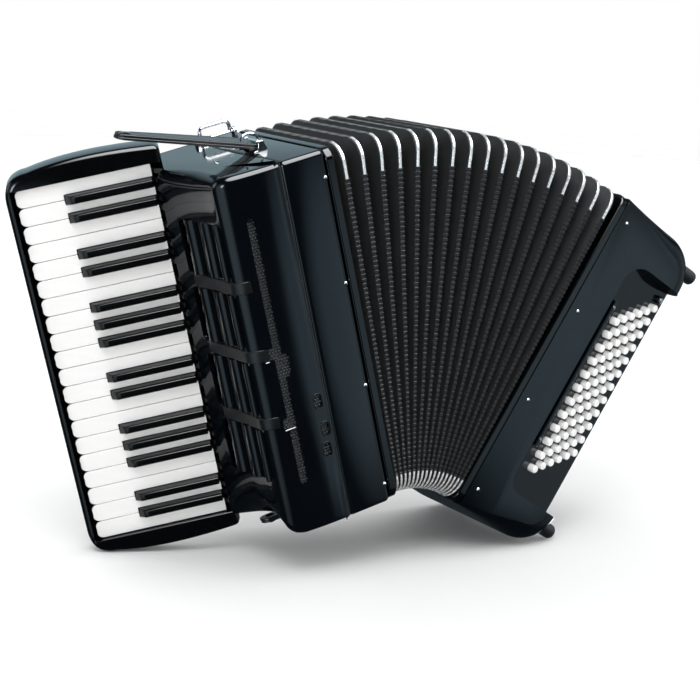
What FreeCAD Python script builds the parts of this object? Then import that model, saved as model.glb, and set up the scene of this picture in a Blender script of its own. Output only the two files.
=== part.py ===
import FreeCAD, Part
import math
import os
import Sketcher

# Piano accordion: treble section with 34 hinged keys, fan-shaped bellows of 17 folds,
# bass section with 72 buttons in six rows. Millimetres, +Z up, origin on the floor
# under the middle of the whole instrument.
#
# Every treble piece is drawn in the treble section's own frame: x = 0 is its bellows
# side with the keys at -x, y = 0 its front, z = 0 its bottom. Every bass piece is drawn
# in the bass section's frame: x = 0 is its bellows side, the outer face at +x.

V = FreeCAD.Vector
os.makedirs("parts", exist_ok=True)
doc = FreeCAD.newDocument("accordion")

# ---------------------------------------------------------------- driving dimensions
cells = {
    "body_height": 368, "body_depth": 188, "wall_thick": 5,
    "treble_x": -21.17, "treble_z": 72.2, "treble_tilt": -14.5, "section_y": -99.3,
    "bass_dx": 83.3, "bass_dz": -13.76, "bass_tilt": 32.3,
    "treble_width": 48, "cover_edge": 116, "cover_thick": 3,
    "key_x": -129.2, "key_y": 117, "key_z": 5, "key_slope": -22.3,
    "white_pitch": 18.6, "white_length": 134, "white_head": 46, "white_gap": 0.6,
    "cap_thick": 3, "stick_thick": 14, "black_length": 87, "black_width": 9.6,
    "black_rise": 9.5, "black_taper": 6,
    "axle_radius": 1.5, "axle_running": 0.06, "axle_fixed": 0.02,
    "axle_back": 4, "axle_deep": 13,
    "lever_width": 4.5, "lever_height": 10, "pallet_width": 14, "pallet_height": 26,
    "pallet_thick": 8, "pallet_gap": 0.05,
    "bed_depth": 31, "bed_thick": 7, "cheek_rise": 6, "frame_lip": 4.2,
    "rail_width": 9, "rail_wall": 12,
    "fold_count": 17, "fold_depth": 22, "fold_wall": 2.2, "fan_radius": 82,
    "bass_width": 128, "bass_corner": 45, "panel_x": 50, "panel_y": 6,
    "panel_slope": 16.4, "panel_thick": 4,
    "button_radius": 4.2, "button_hole": 4.5, "button_proud": 8, "button_length": 17,
    "button_pitch": 16.35, "row_pitch": 9.9, "row_step": 8,
    "foot_radius": 8, "foot_proud": 13, "pin_radius": 2.4, "pin_proud": 1.6,
    "pin_pitch": 106.9, "strap_length": 148, "strap_length_bottom": 96, "strap_width": 28, "strap_thick": 3,
    "strap_pin": 2, "hand_strap_width": 66, "hand_strap_thick": 2.5, "hand_strap_rise": 27,
}
sheet = doc.addObject("Spreadsheet::Sheet", "dims")
for row, (name, value) in enumerate(cells.items(), start=1):
    sheet.set("A%d" % row, name)
    sheet.set("B%d" % row, str(value))
    sheet.setAlias("B%d" % row, name)
doc.recompute()


def size(name):
    return float(sheet.get(name))


def at(x=0, y=0, z=0, axis=(0, 0, 1), angle=0):
    return FreeCAD.Placement(V(x, y, z), FreeCAD.Rotation(V(*axis), angle))


def bind(obj, **expressions):
    for prop, text in expressions.items():
        if isinstance(text, str):
            obj.setExpression(prop, text)
        else:
            setattr(obj, prop, text)
    return obj


def box(name, lengths, corner, frame=None):
    """A box whose three lengths are numbers or expressions, from its low corner."""
    obj = doc.addObject("Part::Box", name)
    bind(obj, Length=lengths[0], Width=lengths[1], Height=lengths[2])
    obj.Placement = (frame or at()).multiply(at(*corner))
    return obj


def rod(name, radius, length, corner, axis="z", frame=None):
    """A cylinder from a point along x, y or z."""
    turn = {"x": ((0, 1, 0), 90), "y": ((1, 0, 0), -90), "z": ((0, 0, 1), 0)}[axis]
    obj = doc.addObject("Part::Cylinder", name)
    bind(obj, Radius=radius, Height=length)
    obj.Placement = (frame or at()).multiply(at(*corner, *turn))
    return obj


def fuse(name, shapes):
    obj = doc.addObject("Part::MultiFuse", name)
    obj.Shapes = shapes
    return obj


def group(name, shapes):
    obj = doc.addObject("Part::Compound", name)
    obj.Links = shapes
    return obj


def cut(name, base, tools):
    obj = doc.addObject("Part::Cut", name)
    obj.Base = base
    obj.Tool = tools[0] if len(tools) == 1 else fuse(name + "_tools", tools)
    return obj


def outline(name, plane, segments, length, backwards=False):
    """A PartDesign body: a closed sketch of lines and three-point arcs, padded."""
    body = doc.addObject("PartDesign::Body", name)
    sketch = body.newObject("Sketcher::SketchObject", name + "_sketch")
    origin = [f for f in body.Origin.OriginFeatures if f.Role == plane][0]
    sketch.AttachmentSupport = [(origin, "")]
    sketch.MapMode = "FlatFace"
    for start, middle, end in segments:
        first, last = V(*start, 0), V(*end, 0)
        if middle is None:
            sketch.addGeometry(Part.LineSegment(first, last), False)
        else:
            sketch.addGeometry(Part.Arc(first, V(*middle, 0), last), False)
    pad = body.newObject("PartDesign::Pad", name + "_pad")
    pad.Profile = sketch
    pad.Reversed = backwards
    bind(pad, Length=length)
    return body


def chain(points):
    """Segments through a closed list of points; a point led by "arc" bends the step."""
    steps, middle, last = [], None, None
    for point in points + [points[0]]:
        if point[0] == "arc":
            middle = point[1:]
            continue
        if last is not None:
            steps.append((last, middle, point))
        last, middle = point, None
    return steps


nodes = {}


def finish(node, obj, frame):
    """Name a finished piece and stand it in its section."""
    obj.Label = node
    obj.Placement = frame.multiply(obj.Placement)
    nodes[node] = obj


H = size("body_height")
D = size("body_depth")
treble = at(size("treble_x"), size("section_y"), size("treble_z"), (0, 1, 0), size("treble_tilt"))
bass = at(
    size("treble_x") + size("bass_dx"), size("section_y"), size("treble_z") + size("bass_dz"),
    (0, 1, 0), size("bass_tilt"),
)
keybed = at(size("key_x"), size("key_y"), size("key_z"), (0, 0, 1), size("key_slope"))
panel = at(size("panel_x"), size("panel_y"), 0, (0, 0, 1), size("panel_slope"))

# ---------------------------------------------------------------- the row of keys
# Twenty naturals from E at the bottom to G at the top; True marks a natural with a
# sharp between it and the next natural above.
pitch = size("white_pitch")
naturals = 20
octave = {"C": True, "D": True, "E": False, "F": True, "G": True, "A": True, "B": False}
scale = "CDEFGAB"
order = [scale[(scale.index("E") - step) % 7] for step in range(naturals)]
sharp_above = [octave[order[i + 1]] if i + 1 < naturals else False for i in range(naturals)]
white_z = [pitch * (i + 0.5) for i in range(naturals)]
black_z = [pitch * (i + 1) for i in range(naturals) if sharp_above[i]]


def lever_shift(z_key):
    """How far a lever leans towards the middle so that all pallets fit in the casing."""
    z_here = size("key_z") + z_key
    return (H / 2 + (z_here - H / 2 - 7) * 0.93) - z_here


def key_stick(name, blocks, z_key, reach_y):
    """The wooden stick under a key, its bent lever and the hole for the axle."""
    section = doc.addObject("Part::Plane", name + "_section")
    bind(section, Length="dims.lever_width", Width="dims.lever_height")
    section.Placement = at(-126, 118, size("key_z") + z_key - size("lever_width") / 2).multiply(
        at(0, 0, 0, (0, 1, 0), -90)
    )
    lever = doc.addObject("Part::Extrusion", name + "_lever")
    lever.Base = section
    lever.DirMode = "Custom"
    run = V(126 - size("treble_width") - size("pallet_thick") - size("pallet_gap"), reach_y, lever_shift(z_key))
    lever.Dir = run
    lever.LengthFwd = run.Length
    lever.Solid = True
    hole = rod(name + "_hole", "dims.axle_radius + dims.axle_running", 40,
               (-size("axle_back"), size("axle_deep"), z_key - 20), "z", keybed)
    return cut(name + "_stick", fuse(name + "_wood", blocks + [lever]), [hole])


def pallet(name, z_key, low_y):
    z_mid = size("key_z") + z_key + lever_shift(z_key)
    return box(name + "_pallet", ("dims.pallet_thick", "dims.pallet_height", "dims.pallet_width"),
               (-size("treble_width") - size("pallet_thick") - size("pallet_gap"), low_y,
                z_mid - size("pallet_width") / 2))


clear = size("black_width") / 2 + 0.5
gap = size("white_gap") / 2
for index in range(naturals):
    name = "key_white_%02d" % (index + 1)
    low, high = pitch * index, pitch * (index + 1)
    low_tail = low + (clear if index and sharp_above[index - 1] else gap)
    high_tail = high - (clear if sharp_above[index] else gap)
    head = size("white_head")
    long = size("white_length")
    cap = fuse(name + "_cap", [
        box(name + "_cap_head", ("dims.white_head", "dims.cap_thick", "dims.white_pitch - dims.white_gap"),
            (-long, 0, low + gap), keybed),
        box(name + "_cap_tail", ("dims.white_length - dims.white_head", "dims.cap_thick", high_tail - low_tail),
            (-long + head, 0, low_tail), keybed),
    ])
    wood = [
        box(name + "_head", ("dims.white_head - 1", "dims.stick_thick", "dims.white_pitch - dims.white_gap - 0.6"),
            (-long + 1, size("cap_thick"), low + gap + 0.3), keybed),
        box(name + "_tail", ("dims.white_length - dims.white_head + 3", "dims.stick_thick",
                             high_tail - low_tail - 0.6),
            (-long + head, size("cap_thick"), low_tail + 0.3), keybed),
    ]
    stick = key_stick(name, wood, white_z[index], -48)
    finish(name, group(name, [cap, stick, pallet(name, white_z[index], 62)]), treble)

for index, z_key in enumerate(black_z):
    name = "key_black_%02d" % (index + 1)
    half = size("black_width") / 2
    cap = doc.addObject("Part::Wedge", name + "_cap")
    cap.Xmin, cap.Xmax = -size("black_length") + size("black_taper"), -1.5
    cap.X2min, cap.X2max = -size("black_length"), -1
    cap.Zmin, cap.Zmax = z_key - half + 0.9, z_key + half - 0.9
    cap.Z2min, cap.Z2max = z_key - half, z_key + half
    cap.Ymin, cap.Ymax = -size("black_rise"), size("cap_thick")
    cap.setExpression("Ymin", "-dims.black_rise")
    cap.setExpression("Ymax", "dims.cap_thick")
    cap.Placement = keybed
    wood = [box(name + "_body", ("dims.black_length + 3", "dims.stick_thick", "dims.black_width - 1"),
                (-size("black_length"), size("cap_thick"), z_key - half + 0.5), keybed)]
    stick = key_stick(name, wood, z_key, -14)
    finish(name, group(name, [cap, stick, pallet(name, z_key, 96)]), treble)

row_end = pitch * naturals
finish("key_axle", rod("key_axle", "dims.axle_radius", row_end + 20,
                       (-size("axle_back"), size("axle_deep"), -10), "z", keybed), treble)

# ---------------------------------------------------------------- keyboard frame
top, bottom = row_end + 17, -17
frame_outline = outline("frame_board", "XZ_Plane", chain([
    (12, top), ("arc", -62, top + 4.5), (-117, top - 1), ("arc", -136.5, top - 7.5), (-143.5, top - 27),
    (-143.5, bottom + 27), ("arc", -136.5, bottom + 7.5), (-117, bottom + 1), ("arc", -62, bottom - 4.5),
    (12, bottom),
]), "dims.bed_depth + dims.cheek_rise", True)
frame_outline.Placement = keybed.multiply(at(0, -size("cheek_rise"), 0))
well = box("frame_well", ("dims.white_length + dims.frame_lip + 30", "dims.bed_depth - dims.bed_thick + 20",
                          row_end + 1),
           (-size("white_length") - size("frame_lip"), -20, -0.5), keybed)
axle_hole = rod("frame_axle_hole", "dims.axle_radius + dims.axle_fixed", row_end + 22,
                (-size("axle_back"), size("axle_deep"), -11), "z", keybed)
flange = box("frame_flange", (9.5, 46, "dims.body_height - 10"), (-size("cover_edge"), 136, 5))
notch = box("frame_cover_notch", (14, 4, 8.5), (2.5, -7.5, -6.5), keybed)
board = cut("frame_cut", frame_outline, [well, axle_hole, notch])
finish("keyboard_frame", fuse("keyboard_frame", [board, flange]), treble)

# ---------------------------------------------------------------- treble casing
shell = box("casing_shell", ("dims.treble_width", "dims.body_depth", "dims.body_height"),
            (-size("treble_width"), 0, 0))
chamber = box("casing_chamber", ("dims.treble_width", "dims.body_depth - 2 * dims.wall_thick",
                                 "dims.body_height - 2 * dims.wall_thick"),
              (-size("treble_width") + 6, size("wall_thick"), size("wall_thick")))
back = box("casing_back", ("dims.cover_edge - dims.treble_width", 6, "dims.body_height"),
           (-size("cover_edge"), D - 6, 0))
tone_holes = []
for z_key in white_z + black_z:
    low_y = 66 if z_key in white_z else 100
    z_mid = size("key_z") + z_key + lever_shift(z_key)
    tone_holes.append(box("tone_hole", (8, 18, 9), (-size("treble_width") - 1, low_y, z_mid - 4.5)))
casing = cut("casing_cut", fuse("casing_fuse", [shell, back]), [chamber] + tone_holes)
finish("treble_casing", casing, treble)

reed_blocks = []
for low_y in (62, 96):
    reed_blocks.append(box("reed_block", (34, 26, "dims.body_height - 36"), (-41.9, low_y, 18)))
finish("treble_reed_blocks", group("treble_reed_blocks", reed_blocks), treble)

# ---------------------------------------------------------------- grille cover
side = size("treble_width") + 0.2
cover_wall = outline("cover_wall", "XY_Plane", chain([
    (-side, 0), (-99, 0), ("arc", -110, 4), (-114.5, 14), ("arc", -117.5, 62), (-127.5, 110),
    (-124.6, 111), ("arc", -114.5, 62), (-111.5, 14.5), ("arc", -107.7, 6.4), (-99, 3), (-side, 3),
]), "dims.body_height")
ends = []
for low_z in (0, H - 4):
    end = outline("cover_end", "XY_Plane", chain([
        (-side, 1), (-99, 1), (-110, 8), (-113, 14.5), ("arc", -116, 62), (-122, 92), (-104, 100),
        (-104, D - 6.2), (-side, D - 6.2),
    ]), 4.0)
    end.Placement = at(0, 0, low_z)
    ends.append(end)
cover_tools = []
bars = []
window_low, window_high, window_step = 58.5, 54, 69.7
for index in range(4):
    low_z = window_low + index * window_step
    cover_tools.append(box("cover_window", (30, 78, window_high), (-136, 15.5, low_z)))
    for low_y, face, wide in ((19.5, -115.0, 11), (39.5, -116.2, 18), (66.5, -119.2, 18)):
        bars.append(box("cover_bar", (2.4, wide, window_high + 4), (face + 0.4, low_y, low_z - 2)))
cover_tools.append(box("cover_slot", (9, 8, 272), (-93, -2, 52)))
cover_tools.append(box("cover_patch", (22, 8, 13), (-102, -2, 183)))
cover_tools.append(box("cover_patch", (14, 8, 12), (-98, -2, 111)))
for x_mid, z_mid in ((-58.5, 129), (-56, 99), (-58.5, 78)):
    cover_tools.append(box("cover_opening", (8, 8, 14), (x_mid - 4, -2, z_mid - 7)))
cover = cut("cover_cut", fuse("cover_shell", [cover_wall] + ends), cover_tools)
finish("grille_cover", fuse("grille_cover", [cover] + bars), treble)
finish("grille_mesh", box("grille_mesh", (40.4, 0.8, 290), (-99.4, 3.3, 40)), treble)

# ---------------------------------------------------------------- straps and fittings
pin_z = [H - 27.2 - index * size("pin_pitch") for index in range(4)]
fittings = [rod("casing_pin", "dims.pin_radius", "dims.pin_proud", (-4, -size("pin_proud"), z), "y")
            for z in pin_z]
strap_y = 68
for x_pin, z_pin, low_z in ((-32, H + 7, H), (-14, -7, -9.5)):
    for low_y in (strap_y - 3.3, strap_y + size("strap_width") + 0.3):
        fittings.append(fuse("strap_post", [
            box("strap_post_side", (8, 3, 9.5), (x_pin - 4, low_y, low_z)),
            box("strap_post_foot", (20, 3, 1.2), (x_pin - 10, low_y, H if low_z > 0 else -1.2)),
        ]))
    fittings.append(rod("strap_pin", "dims.strap_pin", "dims.strap_width + 0.6",
                        (x_pin, strap_y - 0.3, z_pin), "y"))
ring_x, ring_y, ring_z = -30, 172, H + 4
for low_x in (ring_x - 23, ring_x + 19.5):
    fittings.append(cut("ring_lug", box("ring_lug_block", (3.5, 8, 8), (low_x, ring_y - 4, H)),
                        [rod("ring_lug_hole", 1.85, 5, (low_x - 0.5, ring_y, ring_z), "x")]))
finish("treble_fittings", group("treble_fittings", fittings), treble)

# The shoulder-strap ring: a bent wire bow standing on a straight pivot.
bow_half, bow_rise, bow_bend, bow_wire = 17, 12, 6, 1.9
turn_in = bow_bend * (1 - math.sqrt(0.5))
left, right, peak = ring_x - bow_half, ring_x + bow_half, ring_z + bow_rise
bow_path = Part.Wire([
    Part.makeLine(V(left, ring_y, ring_z), V(left, ring_y, peak - bow_bend)),
    Part.Arc(V(left, ring_y, peak - bow_bend), V(left + turn_in, ring_y, peak - turn_in),
             V(left + bow_bend, ring_y, peak)).toShape(),
    Part.makeLine(V(left + bow_bend, ring_y, peak), V(right - bow_bend, ring_y, peak)),
    Part.Arc(V(right - bow_bend, ring_y, peak), V(right - turn_in, ring_y, peak - turn_in),
             V(right, ring_y, peak - bow_bend)).toShape(),
    Part.makeLine(V(right, ring_y, peak - bow_bend), V(right, ring_y, ring_z)),
])
bow = doc.addObject("Part::Feature", "ring_bow")
bow.Shape = bow_path.makePipeShell(
    [Part.Wire(Part.makeCircle(bow_wire, V(left, ring_y, ring_z), V(0, 0, 1)))], True, False)
pivot = rod("ring_pivot", 1.7, 45, (ring_x - 22.5, ring_y, ring_z), "x")
finish("strap_ring", fuse("strap_ring", [pivot, bow]), treble)


def bellows_strap(node, x_pin, z_pin, angle, long):
    """A leather strap with a metal eye on the pin and a round free end with a snap."""
    frame = at(x_pin, strap_y, z_pin, (0, 1, 0), angle)
    eye = cut(node + "_eye", fuse(node + "_eye_body", [
        rod(node + "_barrel", 3.6, "dims.strap_width - 0.4", (0, 0.2, 0), "y", frame),
        box(node + "_tongue", (10, "dims.strap_width - 0.4", 1.2), (-13, 0.2, -3.2), frame),
    ]), [rod(node + "_bore", "dims.strap_pin + 0.08", 40, (0, -5, 0), "y", frame)])
    band = fuse(node + "_band", [
        box(node + "_leather", (long - 16, "dims.strap_width - 0.4", "dims.strap_thick"),
            (-long + 10, 0.2, -2), frame),
        rod(node + "_end", "dims.strap_width / 2 - 0.2", "dims.strap_thick",
            (-long + 10, size("strap_width") / 2, -2), "z", frame),
    ])
    snap = rod(node + "_snap", 5, 2, (-long + 12, size("strap_width") / 2, size("strap_thick") - 2), "z", frame)
    finish(node, group(node, [eye, band, snap]), treble)


bellows_strap("bellows_strap_top", -32, H + 7, 18.7, size("strap_length"))
bellows_strap("bellows_strap_bottom", -14, -7, 0, size("strap_length_bottom"))

# ---------------------------------------------------------------- bellows
for node, low_x, frame in (("bellows_frame_treble", 0.05, treble), ("bellows_frame_bass", -9.05, bass)):
    outer = box(node + "_outer", ("dims.rail_width", "dims.body_depth", "dims.body_height"), (low_x, 0, 0))
    inner = box(node + "_inner", ("dims.rail_width + 2", "dims.body_depth - 2 * dims.rail_wall",
                                  "dims.body_height - 2 * dims.rail_wall"),
                (low_x - 1, size("rail_wall"), size("rail_wall")))
    finish(node, cut(node, outer, [inner]), frame)

folds = int(size("fold_count"))
hub = treble.multVec(V(size("rail_width") + 0.3, 0, -size("fan_radius")))
hub_bass = bass.multVec(V(-size("rail_width") - 0.3, 0, -size("fan_radius")))


def fan_frame(share):
    """The plane of the bellows at a share of the way from the treble to the bass side."""
    angle = size("treble_tilt") + (size("bass_tilt") - size("treble_tilt")) * share
    return FreeCAD.Placement(hub + (hub_bass - hub) * share, FreeCAD.Rotation(V(0, 1, 0), angle))


def fan_wire(share, inset):
    low, high = size("fan_radius") + inset, size("fan_radius") + H - inset
    corners = [V(0, inset, low), V(0, D - inset, low), V(0, D - inset, high), V(0, inset, high)]
    placed = [fan_frame(share).multVec(c) for c in corners]
    return Part.makePolygon(placed + [placed[0]])


def fan_tube(inset):
    """The zigzag skin through every ridge and valley of the folds."""
    wires = []
    for station in range(2 * folds + 1):
        depth = 1.0 if station % 2 else size("fold_depth")
        wires.append(fan_wire(station / (2 * folds), depth + inset))
    return Part.makeLoft(wires, True, True)


bellows = doc.addObject("Part::Feature", "bellows_folds")
bellows.Shape = fan_tube(0).cut(fan_tube(size("fold_wall")))
finish("bellows_folds", bellows, at())

corners = []
for fold in range(folds):
    place = fan_frame((2 * fold + 1) / (2 * folds))
    low, high = size("fan_radius"), size("fan_radius") + H
    for low_y in (0, D - 14):
        edge_y = 0 if low_y == 0 else D - 0.8
        corners.append(box("corner_top", (2.2, 14, 0.8), (-1.1, low_y, high - 0.8), place))
        corners.append(box("corner_bottom", (1.6, 14, 0.8), (-0.8, low_y, low), place))
        corners.append(box("corner_side", (2.2, 0.8, 13), (-1.1, edge_y, high - 13.8), place))
        corners.append(box("corner_side", (1.6, 0.8, 10), (-0.8, edge_y, low + 0.8), place))
finish("bellows_corners", group("bellows_corners", corners), at())

# ---------------------------------------------------------------- bass casing
W = size("bass_width")
R = size("bass_corner")
bend = R * (1 - math.sqrt(0.5))
block = outline("bass_block", "XZ_Plane", chain([
    (0, 0), (W - R, 0), ("arc", W - bend, bend), (W, R), (W, H - R), ("arc", W - bend, H - bend),
    (W - R, H), (0, H),
]), "dims.body_depth", True)
tools = [
    box("bass_inner", (35, "dims.body_depth - 2 * dims.wall_thick", "dims.body_height - 2 * dims.wall_thick"),
        (-1, size("wall_thick"), size("wall_thick"))),
    box("bass_action", (W - 34 - 6, "dims.body_depth - dims.wall_thick - 40", "dims.body_height - 52"),
        (34, 40, 26)),
    box("bass_recess", (100, 60 + size("panel_thick"), 276), (-8, -60, 42), panel),
    box("bass_stem_slot", (68, 45, 250), (6.5, 2, 64), panel),
]
feet = []
for y_foot in (22, D - 22):
    for z_foot in (28, H - 22):
        tools.append(rod("foot_socket", "dims.foot_radius + 0.06", 20, (W - 8, y_foot, z_foot), "x"))
        feet.append(rod("foot", "dims.foot_radius", "dims.foot_proud + 8", (W - 8, y_foot, z_foot), "x"))
finish("bass_casing", cut("bass_casing", block, tools), bass)
finish("bass_feet", group("bass_feet", feet), bass)

# ---------------------------------------------------------------- bass buttons
rows, per_row = 6, 12
first_x, first_z = 14.5, 74
reach = (W - size("panel_x")) / math.cos(math.radians(size("panel_slope")))
board = box("panel_board", (reach + 7, "dims.panel_thick", 275.6), (-7.8, 0, 42.2), panel)
rail = box("panel_rail", (6, 4.1, 177), (-3, -4, 95), panel)
air_x, air_z = 69, 306
holes = [rod("air_hole", 4.4, 20, (air_x, -8, air_z), "y", panel)]
for row in range(rows):
    buttons = []
    for index in range(per_row):
        x_mid = first_x + row * size("row_pitch")
        z_mid = first_z + row * size("row_step") + index * size("button_pitch")
        holes.append(rod("button_hole", "dims.button_hole", 12, (x_mid, -4, z_mid), "y", panel))
        buttons.append(rod("button", "dims.button_radius", "dims.button_length",
                           (x_mid, -size("button_proud"), z_mid), "y", panel))
    node = "bass_buttons_row_%d" % (row + 1)
    finish(node, group(node, buttons), bass)
finish("bass_button_panel", cut("bass_button_panel", fuse("panel_solid", [board, rail]), holes), bass)
finish("air_button", rod("air_button", 4.1, 15, (air_x, -6, air_z), "y", panel), bass)

bass_fittings = [rod("bass_pin", "dims.pin_radius", "dims.pin_proud", (10.6, -size("pin_proud"), z), "y")
                 for z in [H - 23.8 - index * size("pin_pitch") for index in range(4)]]
for z_mid in (103, 264):
    bass_fittings.append(rod("rail_screw", 2.3, 1.2, (0, -5.2, z_mid), "y", panel))
strap_mid = 104
for z_mid in (56, H - 56):
    bass_fittings.append(box("strap_plate", (2, 56, 14), (W + 2.7, strap_mid - 28, z_mid - 7)))
finish("bass_fittings", group("bass_fittings", bass_fittings), bass)

# The hand strap: a leather band bowed out from the outer face.
rise, thick = size("hand_strap_rise"), size("hand_strap_thick")
x_low = W + 0.1
strap = outline("hand_strap", "XZ_Plane", chain([
    (x_low, 47), (x_low, 68), ("arc", x_low + rise, H / 2), (x_low, H - 68), (x_low, H - 47),
    (x_low + thick, H - 47), (x_low + thick, H - 67), ("arc", x_low + rise + thick, H / 2),
    (x_low + thick, 67), (x_low + thick, 47),
]), "dims.hand_strap_width", True)
strap.Placement = at(0, strap_mid - size("hand_strap_width") / 2, 0)
finish("hand_strap", strap, bass)

# ---------------------------------------------------------------- check and export
doc.recompute()
failed = [o.Name for o in doc.Objects if "Invalid" in o.State or "Error" in o.State]
for node, obj in nodes.items():
    if obj.Shape.isNull() or not obj.Shape.isValid() or obj.Shape.Volume <= 0:
        failed.append(node)
if failed:
    raise RuntimeError("these objects failed: " + ", ".join(failed))
low = V(1e9, 1e9, 1e9)
high = V(-1e9, -1e9, -1e9)
for node, obj in nodes.items():
    obj.Shape.exportStep("parts/%s.step" % node)
    bounds = obj.Shape.optimalBoundingBox()
    low = V(min(low.x, bounds.XMin), min(low.y, bounds.YMin), min(low.z, bounds.ZMin))
    high = V(max(high.x, bounds.XMax), max(high.y, bounds.YMax), max(high.z, bounds.ZMax))
print("nodes", len(nodes), "low", low, "high", high)
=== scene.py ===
import math
import bpy
import bmesh
import numpy as np
from mathutils import Matrix, Vector


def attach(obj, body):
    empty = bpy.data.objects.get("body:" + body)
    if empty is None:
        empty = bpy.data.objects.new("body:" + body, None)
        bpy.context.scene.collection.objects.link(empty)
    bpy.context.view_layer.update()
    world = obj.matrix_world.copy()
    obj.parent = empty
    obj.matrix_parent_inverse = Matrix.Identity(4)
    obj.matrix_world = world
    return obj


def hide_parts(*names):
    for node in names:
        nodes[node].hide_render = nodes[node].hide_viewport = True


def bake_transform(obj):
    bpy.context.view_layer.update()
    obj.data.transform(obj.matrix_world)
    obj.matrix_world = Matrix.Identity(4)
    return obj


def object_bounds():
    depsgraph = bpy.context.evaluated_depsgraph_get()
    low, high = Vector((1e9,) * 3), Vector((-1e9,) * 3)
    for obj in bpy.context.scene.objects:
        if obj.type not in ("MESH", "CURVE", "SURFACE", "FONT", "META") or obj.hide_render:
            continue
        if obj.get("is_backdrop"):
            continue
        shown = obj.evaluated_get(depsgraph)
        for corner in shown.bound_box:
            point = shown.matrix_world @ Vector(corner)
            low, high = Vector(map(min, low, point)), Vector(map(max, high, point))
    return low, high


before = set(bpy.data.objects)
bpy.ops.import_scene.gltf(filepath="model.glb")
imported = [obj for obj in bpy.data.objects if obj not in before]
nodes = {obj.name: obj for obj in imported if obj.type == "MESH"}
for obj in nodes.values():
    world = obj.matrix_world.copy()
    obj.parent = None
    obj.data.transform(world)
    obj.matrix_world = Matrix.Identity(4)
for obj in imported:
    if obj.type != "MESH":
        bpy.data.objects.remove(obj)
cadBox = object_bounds()
millimetre = 0.001

# where the two halves stand and lean; lengths in millimetres, angles in degrees
stance = {
    "treblePlace": (-21.17, -99.3, 72.2), "trebleTilt": -14.5,
    "bassShift": (83.3, 0.0, -13.76), "bassTilt": 32.3,
    "keyCorner": (-129.2, 117.0, 5.0), "keySlope": -22.3,
    "panelCorner": (50.0, 6.0, 0.0), "panelSlope": 16.4,
    "height": 368.0, "depth": 188.0, "fanRadius": 82.0,
}


def placed(spot, axis, degrees):
    return Matrix.Translation(Vector(spot)) @ Matrix.Rotation(math.radians(degrees), 4, axis)


toMetres = Matrix.Scale(millimetre, 4)
trebleSpot = Vector(stance["treblePlace"])
bassSpot = trebleSpot + Vector(stance["bassShift"])
trebleFrame = toMetres @ placed(trebleSpot, "Y", stance["trebleTilt"])
bassFrame = toMetres @ placed(bassSpot, "Y", stance["bassTilt"])
keyFrame = trebleFrame @ placed(stance["keyCorner"], "Z", stance["keySlope"])
panelFrame = bassFrame @ placed(stance["panelCorner"], "Z", stance["panelSlope"])
high, deep = stance["height"], stance["depth"]


# materials
def newMaterial(name, color, rough, metal=0.0, coat=0.0, coatRough=0.03, ior=1.5, sheen=0.0):
    mat = bpy.data.materials.new(name)
    mat.use_nodes = True
    shader = mat.node_tree.nodes["Principled BSDF"]
    shader.inputs["Base Color"].default_value = (*color, 1)
    shader.inputs["Roughness"].default_value = rough
    shader.inputs["Metallic"].default_value = metal
    shader.inputs["Coat Weight"].default_value = coat
    shader.inputs["Coat Roughness"].default_value = coatRough
    shader.inputs["IOR"].default_value = ior
    shader.inputs["Sheen Weight"].default_value = sheen
    return mat, mat.node_tree.nodes, mat.node_tree.links, shader


def objectCoords(tree, links, stretch=(1, 1, 1)):
    coords = tree.new("ShaderNodeTexCoord")
    mapping = tree.new("ShaderNodeMapping")
    mapping.inputs["Scale"].default_value = stretch
    links.new(coords.outputs["Object"], mapping.inputs["Vector"])
    return mapping.outputs["Vector"]


def noiseOn(tree, links, vector, scale, detail=3.0, rough=0.5):
    noise = tree.new("ShaderNodeTexNoise")
    noise.inputs["Scale"].default_value = scale
    noise.inputs["Detail"].default_value = detail
    noise.inputs["Roughness"].default_value = rough
    links.new(vector, noise.inputs["Vector"])
    return noise


def spread(tree, links, source, low, top):
    ramp = tree.new("ShaderNodeMapRange")
    ramp.inputs["To Min"].default_value = low
    ramp.inputs["To Max"].default_value = top
    links.new(source, ramp.inputs["Value"])
    return ramp.outputs["Result"]


def tint(tree, links, source, first, second):
    ramp = tree.new("ShaderNodeValToRGB")
    ramp.color_ramp.elements[0].color = (*first, 1)
    ramp.color_ramp.elements[1].color = (*second, 1)
    ramp.color_ramp.elements[0].position = 0.3
    ramp.color_ramp.elements[1].position = 0.7
    links.new(source, ramp.inputs["Fac"])
    return ramp.outputs["Color"]


def bumped(tree, links, shader, height, strength, distance):
    bump = tree.new("ShaderNodeBump")
    bump.inputs["Strength"].default_value = strength
    bump.inputs["Distance"].default_value = distance
    links.new(height, bump.inputs["Height"])
    links.new(bump.outputs["Normal"], shader.inputs["Normal"])


def lacquer(name, color, rough=0.07):
    mat, tree, links, shader = newMaterial(name, color, rough, ior=1.52)
    vector = objectCoords(tree, links)
    cloud = noiseOn(tree, links, vector, 18, 4)
    links.new(spread(tree, links, cloud.outputs["Fac"], rough * 0.7, rough * 1.6),
              shader.inputs["Roughness"])
    links.new(tint(tree, links, cloud.outputs["Fac"], color, tuple(c * 1.5 for c in color)),
              shader.inputs["Base Color"])
    peel = noiseOn(tree, links, vector, 220, 2)
    bumped(tree, links, shader, peel.outputs["Fac"], 0.02, 0.0004)
    return mat


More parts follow.
